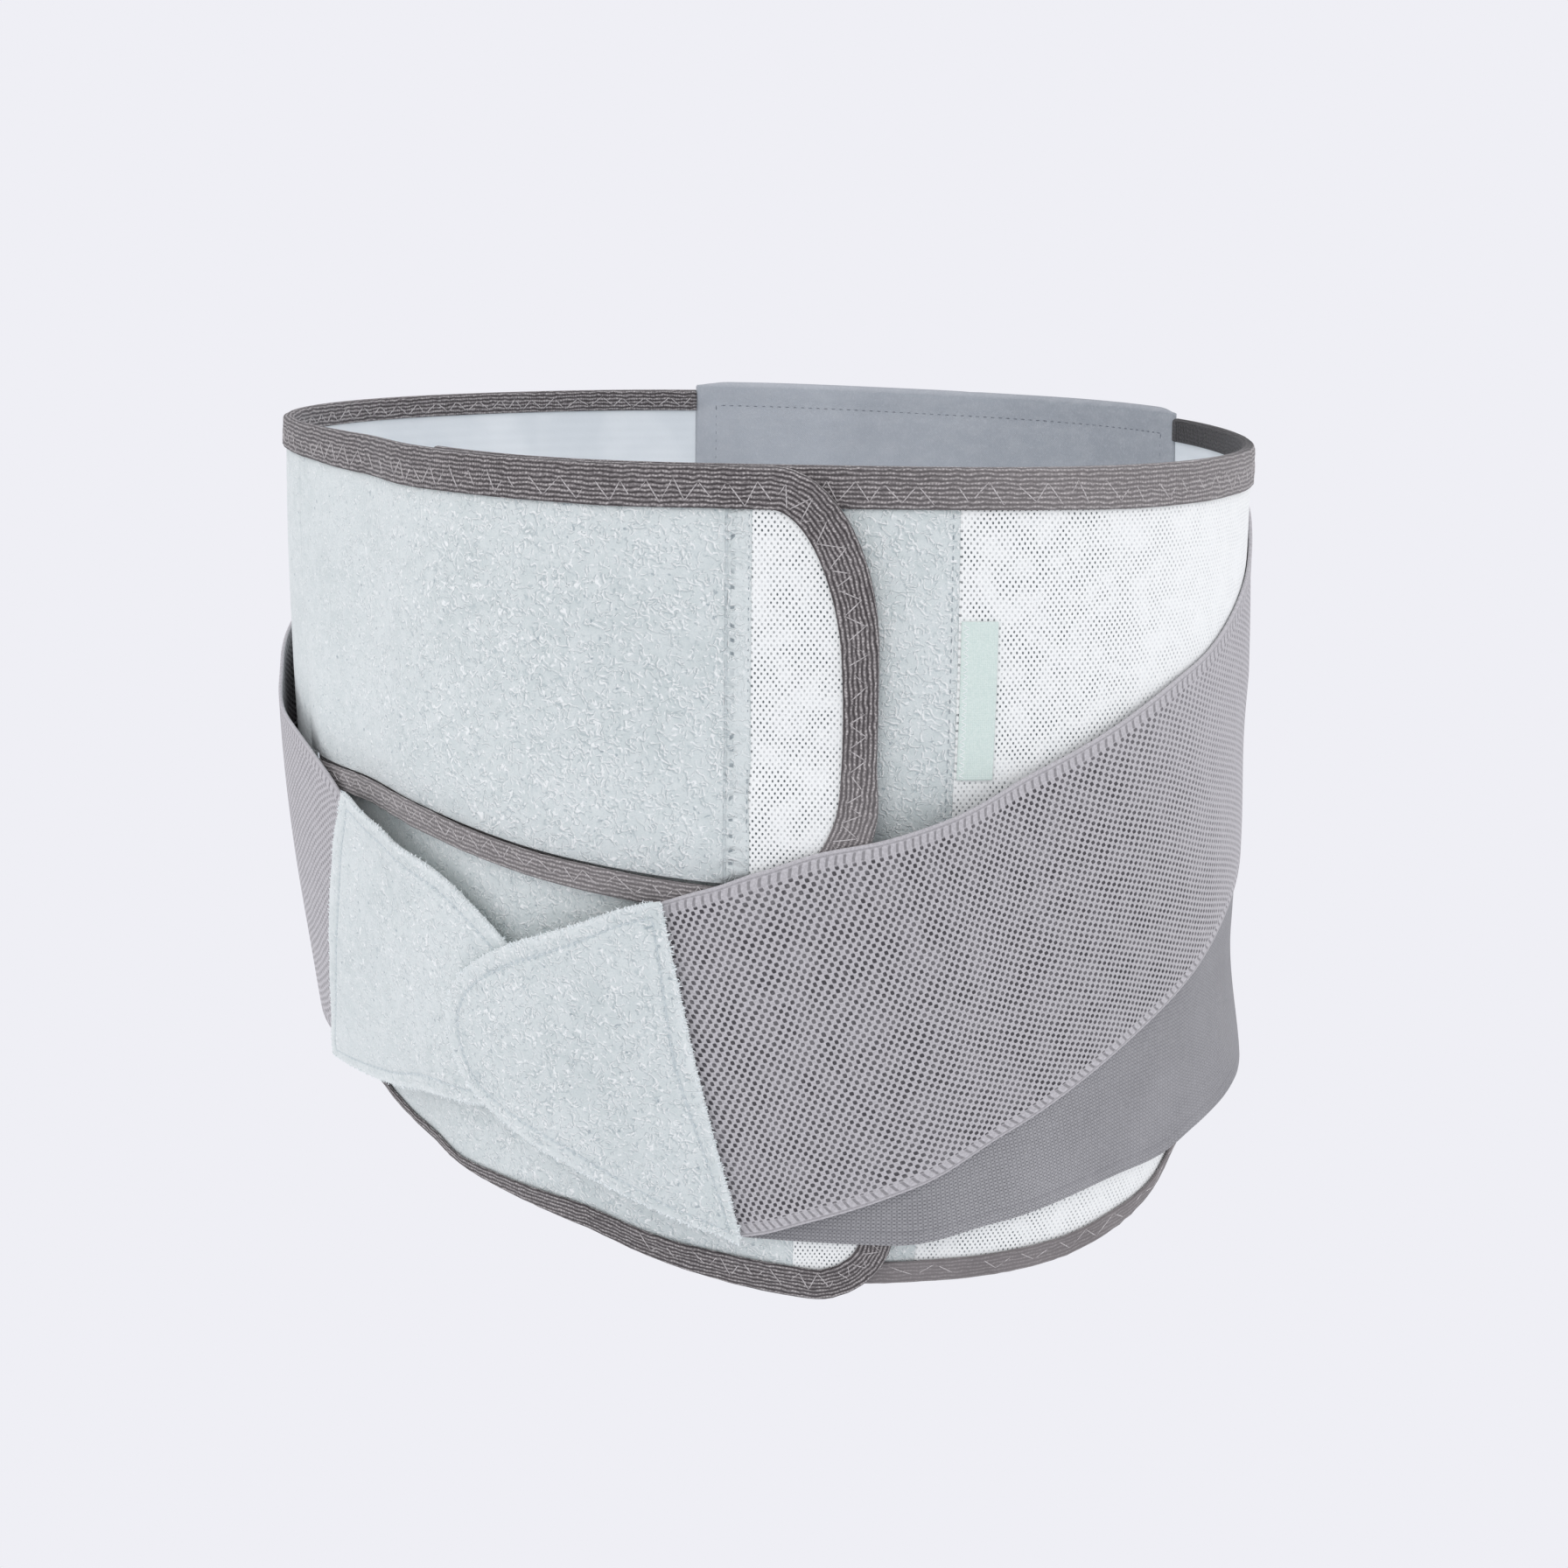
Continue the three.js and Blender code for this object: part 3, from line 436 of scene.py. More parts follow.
class Look:
    """A node material built up step by step. Colours are given as 0 to 255."""

    def __init__(self, name, roughness, sheen, sheen_roughness=0.5):
        self.m = bpy.data.materials.new(name)
        self.m.use_nodes = True
        self.t = self.m.node_tree
        self.t.nodes.clear()
        self.b = self.node(
            "BsdfPrincipled", Roughness=roughness, Sheen_Weight=sheen, Sheen_Roughness=sheen_roughness,
            Specular_IOR_Level=0.25,
        )
        self.node("OutputMaterial", Surface=self.b.outputs[0])
        uv = self.node("UVMap")
        uv.uv_map = "UVMap"
        self.u, self.v = self.node("SeparateXYZ", Vector=uv.outputs[0]).outputs[:2]
        self.where = self.node("NewGeometry").outputs["Position"]
        self.x = self.node("SeparateXYZ", Vector=self.where).outputs[0]

    def node(self, kind, **values):
        n = self.t.nodes.new("ShaderNode" + kind)
        for key, value in values.items():
            self.link(value, n.inputs[key.replace("_", " ")])
        return n

    def link(self, value, socket):
        if isinstance(value, (int, float, tuple)):
            socket.default_value = value
        else:
            self.t.links.new(value, socket)

    def math(self, op, *values):
        n = self.node("Math")
        n.operation = op
        for value, socket in zip(values, n.inputs):
            self.link(value, socket)
        return n.outputs[0]

    def times(self, *values):
        first, second, *rest = values
        product = self.math("MULTIPLY", first, second)
        return self.times(product, *rest) if rest else product

    def plus(self, a, b):
        return self.math("ADD", a, b)

    def less(self, a, b):
        return self.math("SUBTRACT", a, b)

    def away(self, value, centre):
        """How far a value is from the centre, on either side."""
        return self.math("ABSOLUTE", self.less(value, centre))

    def noise(self, size, detail=2.0, rough=0.5, stretch=(1, 1, 1), distort=0.0, shift=(0, 0, 0)):
        """Noise with bumps of about size millimetres."""
        source = self.where
        if stretch != (1, 1, 1) or shift != (0, 0, 0):
            source = self.node("Mapping", Scale=stretch, Location=shift, Vector=source).outputs[0]
        n = self.node("TexNoise", Scale=1 / (size * MM), Detail=detail, Roughness=rough, Vector=source)
        self.link(distort, n.inputs["Distortion"])
        return n.outputs["Fac"]

    def patches(self, *noise):
        return self.range(self.noise(*noise), 0.3, 0.7)

    def wobble(self, far, size, detail=1.0, rough=0.5):
        """Noise of up to half of far metres to each side."""
        return self.times(self.less(self.noise(size, detail, rough), 0.5), far)

    def stroke(self, size, twist, half, shift=(0, 0, 0)):
        """Short curled strokes, where twisted noise runs through its middle value."""
        return self.range(self.away(self.noise(size, 0.0, distort=twist, shift=shift), 0.5), half, 0.0)

    def range(self, value, a, b, c=0.0, d=1.0):
        n = self.node("MapRange", Value=value, From_Min=a, From_Max=b, To_Min=c, To_Max=d)
        n.interpolation_type = "SMOOTHSTEP"
        return n.outputs[0]

    def mix(self, fac, a, b):
        n = self.node("Mix")
        n.data_type = "RGBA"
        for value, socket in zip((fac, a, b), (0, 6, 7)):
            self.link(srgb(*value) if isinstance(value, tuple) else value, n.inputs[socket])
        return n.outputs[2]

    def coats(self, base, *coats):
        """Lays coats of (where, how much, colour) over the base in turn."""
        for where, much, color in coats:
            base = self.mix(self.times(where, much), base, color)
        return base

    def wave(self, value, pitch, phase=0.0):
        """Cosine of a length in metres, once for each pitch in millimetres."""
        return self.math("COSINE", self.math("MULTIPLY_ADD", value, 2 * math.pi / (pitch * MM), phase))

    def bumps(self, *layers):
        """Bumps of (height, distance in millimetres, strength), each on top of the last."""
        normal = None
        for height, far, strength in layers:
            n = self.node("Bump", Strength=strength, Distance=far * MM, Height=height)
            if normal is not None:
                self.link(normal, n.inputs["Normal"])
            normal = n.outputs[0]
        return normal

    def done(self, color, *layers):
        self.link(color, self.b.inputs["Base Color"])
        self.link(self.bumps(*layers), self.b.inputs["Normal"])
        return self.m


def fleece_look(name, edged=False, seam=None):
    """Brushed loops: short curled flecks with a painted lit flank and a painted shaded flank, over soft
    tufts.

    edged adds a cut edge and its topstitching, seam the holes and puckers of a seam along u.
    """
    k = Look(name, 0.95, 0.35, 0.6)
    shift = (0.0003, 0.0003, 0.0003)
    where = k.range(k.noise(9, 3.0, 0.65), 0.34, 0.62, 0.6, 1.0)
    fleck_shading = 0.0
    for size, twist, half, cut, by in ((2.9, 1.0, 0.08, 2.4, 0.02), (2.3, 0.8, 0.095, 2.0, 0.05)):
        # Each flank is a stroke less a shifted copy of it: painted light on one side of the curl and painted
        # shade on the other
        lit_and_shaded_flank = k.less(k.stroke(size, twist, half), k.stroke(size, twist, half, shift))
        fleck = k.range(k.noise(cut, 0.0, shift=(by, 0.01, 0.03)), 0.4, 0.52)
        fleck_shading = k.plus(fleck_shading, k.times(lit_and_shaded_flank, fleck))
    # The painted light and shade of the flecks is weaker toward the wearer's right side
    fleck_shading = k.times(fleck_shading, k.times(where, k.range(k.x, -0.13, 0.02, 0.4, 1.0)))
    tuft = k.noise(4.2, distort=0.6)
    fine = k.noise(0.5, 2.0, 0.6)
    base = k.coats(
        k.mix(k.patches(34), (206, 215, 214), (215, 223, 222)),
        (k.range(tuft, 0.35, 0.65), 0.5, (226, 232, 231)),
        (k.range(fine, 0.55, 0.3), 0.35, (188, 200, 203)),
        # Painted shade and painted highlight on the flecks' flanks
        (k.range(fleck_shading, -0.05, -0.9), 0.46, (162, 177, 181)),
        (k.range(fleck_shading, 0.03, 0.7), 0.82, (248, 251, 250)),
        (k.range(k.noise(1.5, 0.0), 0.76, 0.86), 0.6, (140, 155, 162)),
    )
    layers = [(fine, 0.25, 0.55), (fleck_shading, 0.3, 0.5), (tuft, 0.9, 0.4)]
    if edged:
        rough = k.math("MULTIPLY_ADD", k.less(fine, 0.5), 0.002, k.u)
        sewn = k.range(k.away(rough, 0.0051), 0.001, 0.0002)
        sewn = k.times(sewn, k.range(k.wave(k.v, 2.4), -0.6, 0.6, 0.25, 1.0))
        base = k.coats(
            base,
            (k.range(rough, 0.0026, 0.0004), 0.35, (238, 244, 243)),
            (sewn, 0.4, (158, 173, 179)),
        )
    if seam is not None:
        pulled = k.wave(k.plus(k.v, k.wobble(0.009, 8)), 4.6)
        off = k.less(k.u, seam * MM)
        hole = k.times(
            k.range(k.math("ABSOLUTE", off), 0.0008, 0.0003),
            k.range(pulled, 0.6, 0.9),
            k.range(k.noise(5, 1.0), 0.36, 0.56, 0.25, 1.0),
        )
        # A crease line beside the seam: painted shade, darker than the cloth round it
        crease = k.range(k.math("ABSOLUTE", k.plus(off, 0.0016)), 0.0006, 0.0001)
        base = k.coats(
            base,
            (k.range(k.away(off, 0.0024), 0.0034, 0.0012), 0.45, (226, 233, 232)),
            (crease, 0.3, (170, 183, 187)),
            (hole, 0.75, (102, 116, 124)),
        )
        pull = k.times(k.range(k.math("ABSOLUTE", off), 0.005, 0.0), pulled)
        layers.append((k.less(0.0, k.plus(pull, crease)), 0.5, 0.6))
    return k.done(base, *layers)


def knit_look(name, pitch, tones, hole_by, size, seen, fade, border=None, cords=0.0):
    """Open knit: holes on a centred lattice of pitch millimetres along and across."""
    k = Look(name, 0.85, 0.15)
    wob = k.wobble(0.0011, 9)
    u, v = k.plus(k.u, wob), k.plus(k.v, wob)
    holes = k.times(
        k.range(k.times(k.wave(u, pitch[0]), k.wave(v, pitch[1])), *size),
        k.range(k.noise(7, 4.0, 0.7), 0.36, 0.62, *seen),
        k.range(k.math("ABSOLUTE", k.u), *fade),
    )
    rough = k.noise(0.5, 2.0, 0.6)
    if border is not None:
        near = k.math("MINIMUM", k.v, k.less(border * MM, k.v))
        slant = k.plus(k.math("MULTIPLY_ADD", near, 0.35, k.u), k.times(wob, 1.6))
        tick = k.range(k.wave(slant, pitch[0]), 0.3, 0.85)
        tick = k.times(tick, k.range(k.away(near, 0.0026), 0.0017, 0.001))
        line = k.range(k.away(near, 0.0008), 0.0004, 0.0001)
        holes = k.times(holes, k.range(near, 0.0038, 0.0046))
        holes = k.math("MAXIMUM", k.math("MAXIMUM", holes, k.times(tick, 0.5)), k.times(line, 0.3))
    base = k.mix(k.range(rough, 0.35, 0.65), tones[0], tones[1])
    if cords:
        cord = k.range(k.times(k.wave(u, pitch[0], 1.2), k.wave(v, pitch[1], 0.9)), 0.2, 0.9)
        base = k.coats(base, (cord, cords, (208, 206, 210)))
    base = k.coats(base, (holes, hole_by, tones[2]))
    return k.done(base, (rough, 0.2, 0.35), (k.less(1.0, holes), 0.45, 0.6))


def plain_look():
    k = Look("woven_elastic", 0.8, 0.2)
    warp = k.wave(k.v, 1.25)
    cell = k.times(warp, k.wave(k.u, 1.15))
    rib = k.range(warp, -0.6, 0.9)
    clear = k.range(k.u, 0.1, 0.2, 1.0, 0.4)
    near = k.math("MINIMUM", k.v, k.less(PLAIN_WIDE * MM, k.v))
    base = k.coats(
        k.mix(k.patches(26), (148, 148, 151), (160, 160, 163)),
        (k.times(rib, clear), 0.65, (188, 188, 190)),
        (k.times(k.range(cell, 0.1, 0.9), clear), 0.85, (92, 91, 95)),
        (k.range(k.away(near, 0.0042), 0.0007, 0.0002), 0.2, (112, 111, 117)),
        (k.range(k.noise(1.7, 3.0, 0.7), 0.45, 0.65), 0.3, (178, 178, 181)),
    )
    # Darker from 80 to 200 mm along u
    base = k.mix(k.range(k.u, 0.08, 0.2, 0.0, 0.25), base, (112, 112, 117))
    # Painted shadow of the net strap, darkest below 30 mm along u (the end at the tab on the left strap)
    base = k.mix(k.range(k.u, 0.12, 0.03, 0.0, 0.4), base, (96, 96, 101))
    return k.done(base, (k.noise(0.6, 2.0, 0.6), 0.15, 0.3), (k.plus(cell, rib), 0.3, 0.5))


def tape_look(name, pale=None, shade=None, ribs=1.0):
    """Light ribs beaded by the picks over a darker ground.

    pale gives two lengths between which it gets paler, and how much; shade gives two between which painted
    shade darkens the tape's face inside the rim.
    """
    k = Look(name, 0.8, 0.2)
    wob = k.wobble(0.0017, 4, 3.0, 0.6)
    rib = k.wave(k.plus(k.v, wob), 1.25)
    pick = k.wave(k.plus(k.u, wob), 0.95)
    rough = k.noise(1.1, 3.0, 0.7)
    beads = k.times(k.range(rib, -0.15, 0.75), k.range(pick, -0.8, 0.5, 0.5, 1.0))
    beads = k.times(beads, k.range(rough, 0.34, 0.64, 0.15 * ribs, ribs))
    gaps = k.times(k.range(rib, -0.3, -0.9), k.range(rough, 0.7, 0.4, 0.4 * ribs, ribs))
    base = k.mix(k.patches(17), (97, 92, 93), (111, 106, 107))
    base = k.mix(beads, base, (196, 191, 190))
    base = k.coats(base, (gaps, 0.9, (56, 52, 53)))
    if pale:
        base = k.mix(k.range(k.u, pale[0], pale[1], 0.0, pale[2]), base, (206, 201, 200))
    if shade:
        # Painted shade on the inner face of the tape inside the rim
        inner = k.times(k.range(k.v, 0.0112, 0.0122), k.range(k.u, *shade))
        base = k.coats(base, (inner, 0.95, (30, 28, 29)))
    return k.done(base, (rough, 0.2, 0.35), (k.plus(rib, k.times(pick, 0.35)), 0.22, 0.7 * ribs))


def pad_look():
    k = Look("laminated_pad", 0.62, 0.1)
    fine = k.noise(0.8, 3.0, 0.6)
    # Painted light and shade: the pad is darker up to 0.34 m along u and lighter from 0.5 m
    base = k.coats(
        k.mix(k.range(k.u, 0.34, 0.5), (160, 165, 171), (181, 186, 192)),
        (k.patches(30, 3.0, 0.55), 0.3, (146, 151, 158)),
        (k.range(k.noise(7, 3.0, 0.6, stretch=(1, 1, 2.2)), 0.4, 0.7), 0.18, (198, 201, 203)),
        (k.range(fine, 0.45, 0.75), 0.25, (206, 209, 213)),
    )
    return k.done(base, (fine, 0.12, 0.3), (k.times(k.wave(k.u, 0.9), k.wave(k.v, 0.9)), 0.06, 0.3))


def lining_look():
    k = Look("inner_lining", 0.8, 0.15)
    base = k.mix(k.patches(24), (226, 232, 235), (237, 242, 244))
    return k.done(base, (k.noise(0.9, 3.0, 0.6), 0.15, 0.3), (k.wave(k.v, 3.4), 0.1, 0.35))


def label_look():
    k = Look("satin_label", 0.42, 0.2)
    warp, weft = k.wave(k.u, 0.42), k.wave(k.v, 0.5)
    base = k.mix(k.patches(0.6, 2.0, 0.6), (214, 230, 224), (226, 239, 233))
    base = k.coats(base, (k.range(warp, -0.2, 0.9), 0.25, (198, 218, 210)))
    return k.done(base, (k.plus(warp, weft), 0.06, 0.4))


def thread_look(name, dark, light):
    k = Look(name, 0.7, 0.1)
    ply = k.noise(0.5, 2.0, 0.6)
    return k.done(k.mix(k.range(ply, 0.3, 0.7), dark, light), (ply, 0.08, 0.4))


FLEECE = fleece_look("loop_fleece")
TAB_FLEECE = fleece_look("tab_fleece", edged=True)
TONGUE_FLEECE = fleece_look("tongue_fleece", seam=UPPER_SEAM - 4.9)
MESH = knit_look(
    "white_mesh", (1.6, 2.28), ((242, 245, 244), (251, 253, 251), (78, 88, 92)), 0.95,
    (0.34, 0.8), (0.28, 1.0), (0.14, 0.2, 1.0, 0.3),
)
NET = knit_look(
    "elastic_net", (2.45, 3.1), ((181, 179, 182), (197, 195, 198), (70, 68, 72)), 1.0,
    (-0.02, 0.42), (0.75, 1.0), (0.15, 0.21, 1.0, 0.5), border=NET_WIDE, cords=0.6,
)
PLAIN = plain_look()
TAPE_LOOK = tape_look("ribbed_binding")
UPPER_TAPE_LOOK = tape_look("upper_binding", (0.5, 0.56, 0.2))
SMOOTH_TAPE_LOOK = tape_look("smooth_binding", (-1.0, -0.5, 0.14), ribs=0.3)
# The left binding gets painted shade inside the rim from 0.22 to 0.3 m along
LEFT_TAPE_LOOK = tape_look("left_binding", (0.1, 0.2, 0.22), (0.22, 0.3))
PAD_LOOK = pad_look()
LINING = lining_look()
LABEL_LOOK = label_look()
PALE_THREAD = thread_look("pale_thread", (160, 156, 156), (214, 210, 210))
GREY_THREAD = thread_look("grey_thread", (198, 208, 211), (224, 232, 234))
SEAM_THREAD = thread_look("seam_thread", (140, 150, 155), (176, 184, 188))
WHITE_THREAD = thread_look("white_thread", (232, 240, 238), (247, 250, 249))
DARK_THREAD = thread_look("dark_thread", (88, 93, 101), (140, 145, 152))
FIBRE = thread_look("fleece_fibre", (224, 233, 234), (246, 250, 250))


def goes(obj, slot, *nodes):
    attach(obj, "root")
    if nodes:
        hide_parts(*nodes)
    return obj


# Camera

AZ, EL, ROLL = (math.radians(a) for a in (27.381, 13.374, 0.655))
DISTANCE, LOOK_RIGHT, LOOK_BACK, LOOK_DOWN = 816.2, 3.471, 12.35, 120.03
FILM, FOCUS, FRAME_WIDE = 36.0, 2806.7, 1792
back = Vector((math.sin(AZ) * math.cos(EL), -math.cos(AZ) * math.cos(EL), math.sin(EL)))
right = Vector((math.cos(AZ), math.sin(AZ), 0))
up = back.cross(right)
target = right * LOOK_RIGHT + Vector((0, LOOK_BACK, FRONT / 2 - LOOK_DOWN))
x_axis = math.cos(ROLL) * right + math.sin(ROLL) * up
y_axis = -math.sin(ROLL) * right + math.cos(ROLL) * up
camera_data = bpy.data.cameras.new("camera")
camera_data.sensor_width = FILM
camera_data.lens = FILM * FOCUS / FRAME_WIDE
camera_data.clip_start, camera_data.clip_end = 0.05, 20
camera = add("camera", camera_data)
camera.matrix_world = Matrix.Translation((target + back * DISTANCE) * MM) @ Matrix(
    (x_axis, y_axis, back)
).transposed().to_4x4()
bpy.context.scene.camera = camera

# Panels

def panel_top(s):
    return EDGE + 0 * s


def left_panel_bottom(s):
    return left_bottom(s) - EDGE


def right_panel_bottom(s):
    return right_bottom(s) - EDGE


def seam_dent(at, deep=0.35, wide=1.6):
    """A stitched seam pulls the cloth in along a line at s."""
    return lambda s, drop: -deep * bell(s - at, wide)


def panel(name, node, slot, lines, edges, lift, look, step=4.0, relief=None):
    """A lined piece of a panel between its top and bottom edges, in place of its node."""
    s, drop = panel_grid(lines, *edges, step)
    return goes(cloth(name, s, drop, lift, PANEL, look, relief=relief, lining=LINING), slot, node)


left_edges, right_edges = (panel_top, left_panel_bottom), (panel_top, right_panel_bottom)
left_front = panel(
    "left_front_fleece", "left_front_panel", "fleece", grid_lines(LEFT_END, LEFT_SEAM - GAP / 2, 3.0),
    left_edges, ease, FLEECE, relief=seam_dent(LEFT_SEAM - 1.6),
)
left_side = panel(
    "left_side_mesh", "left_side_panel", "mesh", grid_lines(LEFT_SEAM + GAP / 2, LEFT_AT, 3.0),
    left_edges, ease, MESH,
)
right_side = panel(
    "right_side_mesh", "right_side_panel", "mesh", grid_lines(RIGHT_AT, RIGHT_SEAM - GAP / 2, 3.0),
    right_edges, ease, MESH,
)

upper_end = UPPER_END - EDGE


def upper_top(s):
    return EDGE + corner_cut(s, upper_end, UPPER_CORNER)


def upper_bottom(s):
    return split_edge(s) - EDGE - corner_cut(s, upper_end, UNDER_CORNER)


def tip_lines(start, end, corner):
    turn = np.linspace(0, math.pi / 2, 16)
    arc = end - corner[0] + corner[0] * np.sin(turn)
    return grid_lines(start, end - 0.35, 3.0, extra=arc[arc < end - 0.4])


def two_part_panel():
    """The part before the split is full height, then comes the upper tongue."""
    after = grid_lines(SPLIT_ROOT, UPPER_SEAM - GAP / 2, 3.0)
    rows = grid_lines(0, 1, 1 / 30, edge=0.003)
    top, bottom = upper_top(after), split_edge(after) - EDGE
    tongue = cloth(
        "right_upper_fleece", np.repeat(after[None, :], len(rows), 0),
        top[None, :] + rows[:, None] * (bottom - top)[None, :], upper_lift, PANEL, TONGUE_FLEECE,
        relief=seam_dent(UPPER_SEAM - 5.6, 0.3, 2.4), lining=LINING,
    )
    before = panel_grid(grid_lines(RIGHT_SEAM + GAP / 2, SPLIT_ROOT, 3.0), *right_edges)
    rear = cloth(
        "right_root_fleece", *before, upper_lift, PANEL, TONGUE_FLEECE, lining=LINING, round_by=0.05
    )
    bpy.ops.object.select_all(action="DESELECT")
    rear.select_set(True)
    tongue.select_set(True)
    bpy.context.view_layer.objects.active = tongue
    bpy.ops.object.join()
    return tongue


right_upper = goes(two_part_panel(), "fleece", "right_upper_panel")
upper_tip = panel(
    "upper_tongue_mesh", "upper_tongue_end", "mesh", tip_lines(UPPER_SEAM + GAP / 2, upper_end, UPPER_CORNER),
    (upper_top, upper_bottom), upper_lift, MESH, 3.0,
)

lower_end = LOWER_END - EDGE


def lower_top(s):
    return split_edge(s) - SPLIT_LAP + 2 * SPLIT_LAP * ramp(s, SPLIT_ROOT + 34, SPLIT_ROOT + 20)


def lower_bottom(s):
    return right_panel_bottom(s) - corner_cut(s, lower_end, LOWER_CORNER)


lower_edges = lower_top, lower_bottom
right_lower = panel(
    "right_lower_fleece", "right_lower_panel", "fleece",
    grid_lines(SPLIT_ROOT + 2 * GAP, LOWER_SEAM - GAP / 2, 3.0), lower_edges, lower_lift, FLEECE,
)
lower_tip = panel(
    "lower_tongue_mesh", "lower_tongue_end", "mesh", tip_lines(LOWER_SEAM + GAP / 2, lower_end, LOWER_CORNER),
    lower_edges, lower_lift, MESH, 3.0,
)

# Back pad

PAD_SEWN = 7.0
PAD_FROM, PAD_TO = LEFT_AT + GAP, RIGHT_AT + GIRTH - GAP


def pad_bottom(s):
    return np.maximum(left_bottom(np.minimum(s, 2 * PANEL_RUN)), right_bottom(s - GIRTH))


def pad_ends(s):
    return np.minimum(s - PAD_FROM, PAD_TO - s)


def pad_thin(s):
    return 1 - smooth(pad_ends(s) / 9)


def pad_inner(s, drop):
    """The pad's inner face: stitched down at its ends and along its edges, soft between."""
    end = bell(pad_ends(s) - PAD_SEWN, 2.2)
    top, low = bell(drop + PAD_RISE - PAD_SEWN, 2.0), bell(pad_bottom(s) - drop - PAD_SEWN, 2.0)
    crease = 0.9 * bell(s - (PAD_FROM + PAD_TO) / 2 + 6, 3.0)
    stitched = np.maximum(np.maximum(end, top), low)
    soft = 0.35 * noise(s / 31 + 4, drop / 40 + 1, 5)
    return -PAD_IN + 0.9 * stitched + 1.2 * pad_thin(s) + crease * 0.5 + soft * (1 - stitched)


def pad_thick(s, drop):
    return PAD - 2.4 * pad_thin(s) - PAD_IN - pad_inner(s, drop)


pad_s, pad_d = panel_grid(
    grid_lines(PAD_FROM, PAD_TO, 2.0, edge=0.5), lambda s: -PAD_RISE + 0 * s, pad_bottom, 2.4
)
back_pad = goes(
    cloth("back_pad", pad_s, pad_d, pad_inner, pad_thick, PAD_LOOK, round_by=0.3), "pad", "back_panel"
)

# Tapes

def tape_wide(s, drop):
    """The rim tape shows narrower round the wearer's right side and below, where it is rolled in."""
    wide = TAPE_WIDE + 0.9 - 2.6 * blend(s, -40, -210) + 0.25 * noise(s / 23, 0 * s, 12)
    wide = wide - 2.1 * blend(drop, 20, 70)
    wide = wide - 1.1 * blend(drop, 100, 112) * blend(s, 80, 60)
    return wide + 2.2 * blend(drop, 76, 106) * blend(s, 56, 82)


def low_wide(s, drop):
    """The bottom tape is rolled further under the belly toward the wearer's right side."""
    under = 1.5 * blend(s, 60, 20) + 5.0 * blend(s, 22, -60)
    return TAPE_WIDE - under * blend(s, -190, -150) + 0.3 * noise(s / 17, 0 * s, 14)


def left_low_wide(s, drop):
    return 8.0 - 2.8 * blend(s, 176, 206) + 0.3 * noise(s / 19, 0 * s, 15)


def run_along(start, end):
    return np.linspace(start, end, max(2, int(abs(end - start) / 2.4)) + 1)


def straight(s, drop, way):
    return s, drop, np.repeat([[0.0, way]], len(s), 0)


def corner_run(end, corner, edge, way):
    turn = np.linspace(0, math.pi / 2, 16)
    s = end - corner[0] * (1 - np.sin(turn))
    drop = edge(s) + way * corner[1] * (1 - np.cos(turn))
    into = np.stack([-np.sin(turn) / corner[0], way * np.cos(turn) / corner[1]], 1)
    return s, drop, into / norms(into)


def chain(*runs):
    return tuple(np.concatenate(part) for part in zip(*runs))


def flip(run):
    return tuple(part[::-1] for part in run)


def side_run(end, start, stop):
    drop = run_along(start, stop)[1:-1]
    return np.full(len(drop), end), drop, np.repeat([[-1.0, 0.0]], len(drop), 0)


top_s, low_s = run_along(LEFT_END, LEFT_AT), run_along(LEFT_AT, LEFT_END)
top_left = straight(top_s, 0 * top_s, 1.0)
low_left = straight(low_s, left_bottom(low_s), -1.0)
rim_s = run_along(RIGHT_AT, UPPER_END - UPPER_CORNER[0] - 1)
split_s = run_along(UPPER_END - UNDER_CORNER[0] - 1, SPLIT_ROOT + GAP)
upper_path = chain(
    straight(rim_s, 0 * rim_s, 1.0),
    corner_run(UPPER_END, UPPER_CORNER, lambda s: 0 * s, 1),
    side_run(UPPER_END, UPPER_CORNER[1], SPLIT_DROP - UNDER_CORNER[1]),
    flip(corner_run(UPPER_END, UNDER_CORNER, split_edge, -1)),
    straight(split_s, split_edge(split_s), -1.0),
)
lower_s = run_along(LOWER_END - LOWER_CORNER[0] - 1, RIGHT_AT)
lower_path = chain(
    side_run(LOWER_END, lower_top(lower_end), FRONT - LOWER_CORNER[1]),
    flip(corner_run(LOWER_END, LOWER_CORNER, right_bottom, -1)),
    straight(lower_s, right_bottom(lower_s), -1.0),
)


def zigzag(path, inner, wide, pitch=8.0, inside=False):
    """Zigzag sewing along a tape, over the half of its width that lies on the cloth."""
    s, drop, into = path
    run = lengths(on_body(s, drop, inner(s, drop)))
    lift = (-LAY - TAPE) if inside else PANEL + LAY + TAPE

    def place(t, share):
        inset = share * np.interp(t, run, wide)
        i0, i1 = np.interp(t, run, into[:, 0]), np.interp(t, run, into[:, 1])
        size = math.hypot(i0, i1)
        return np.interp(t, run, s) + i0 / size * inset, np.interp(t, run, drop) + i1 / size * inset

    pick = np.random.RandomState(len(s))
    out, t, down, a = [], 2.0, True, place(2.0, 0.36)
    while t + pitch < run[-1]:
        t += pitch / 2 * pick.uniform(0.7, 1.3)
        b = place(t, (0.86 if down else 0.36) + pick.uniform(-0.07, 0.07))
        p, q = on_body(*a, inner(*a) + lift), on_body(*b, inner(*b) + lift)
        n = normal_at((a[0] + b[0]) / 2, (a[1] + b[1]) / 2, 0)
        out.append((p, q, -n if inside else n, 0.9 if down else 0.1))
        a, down = b, not down
    return out


def part_of(path, keep):
    return tuple(part[keep] for part in path)


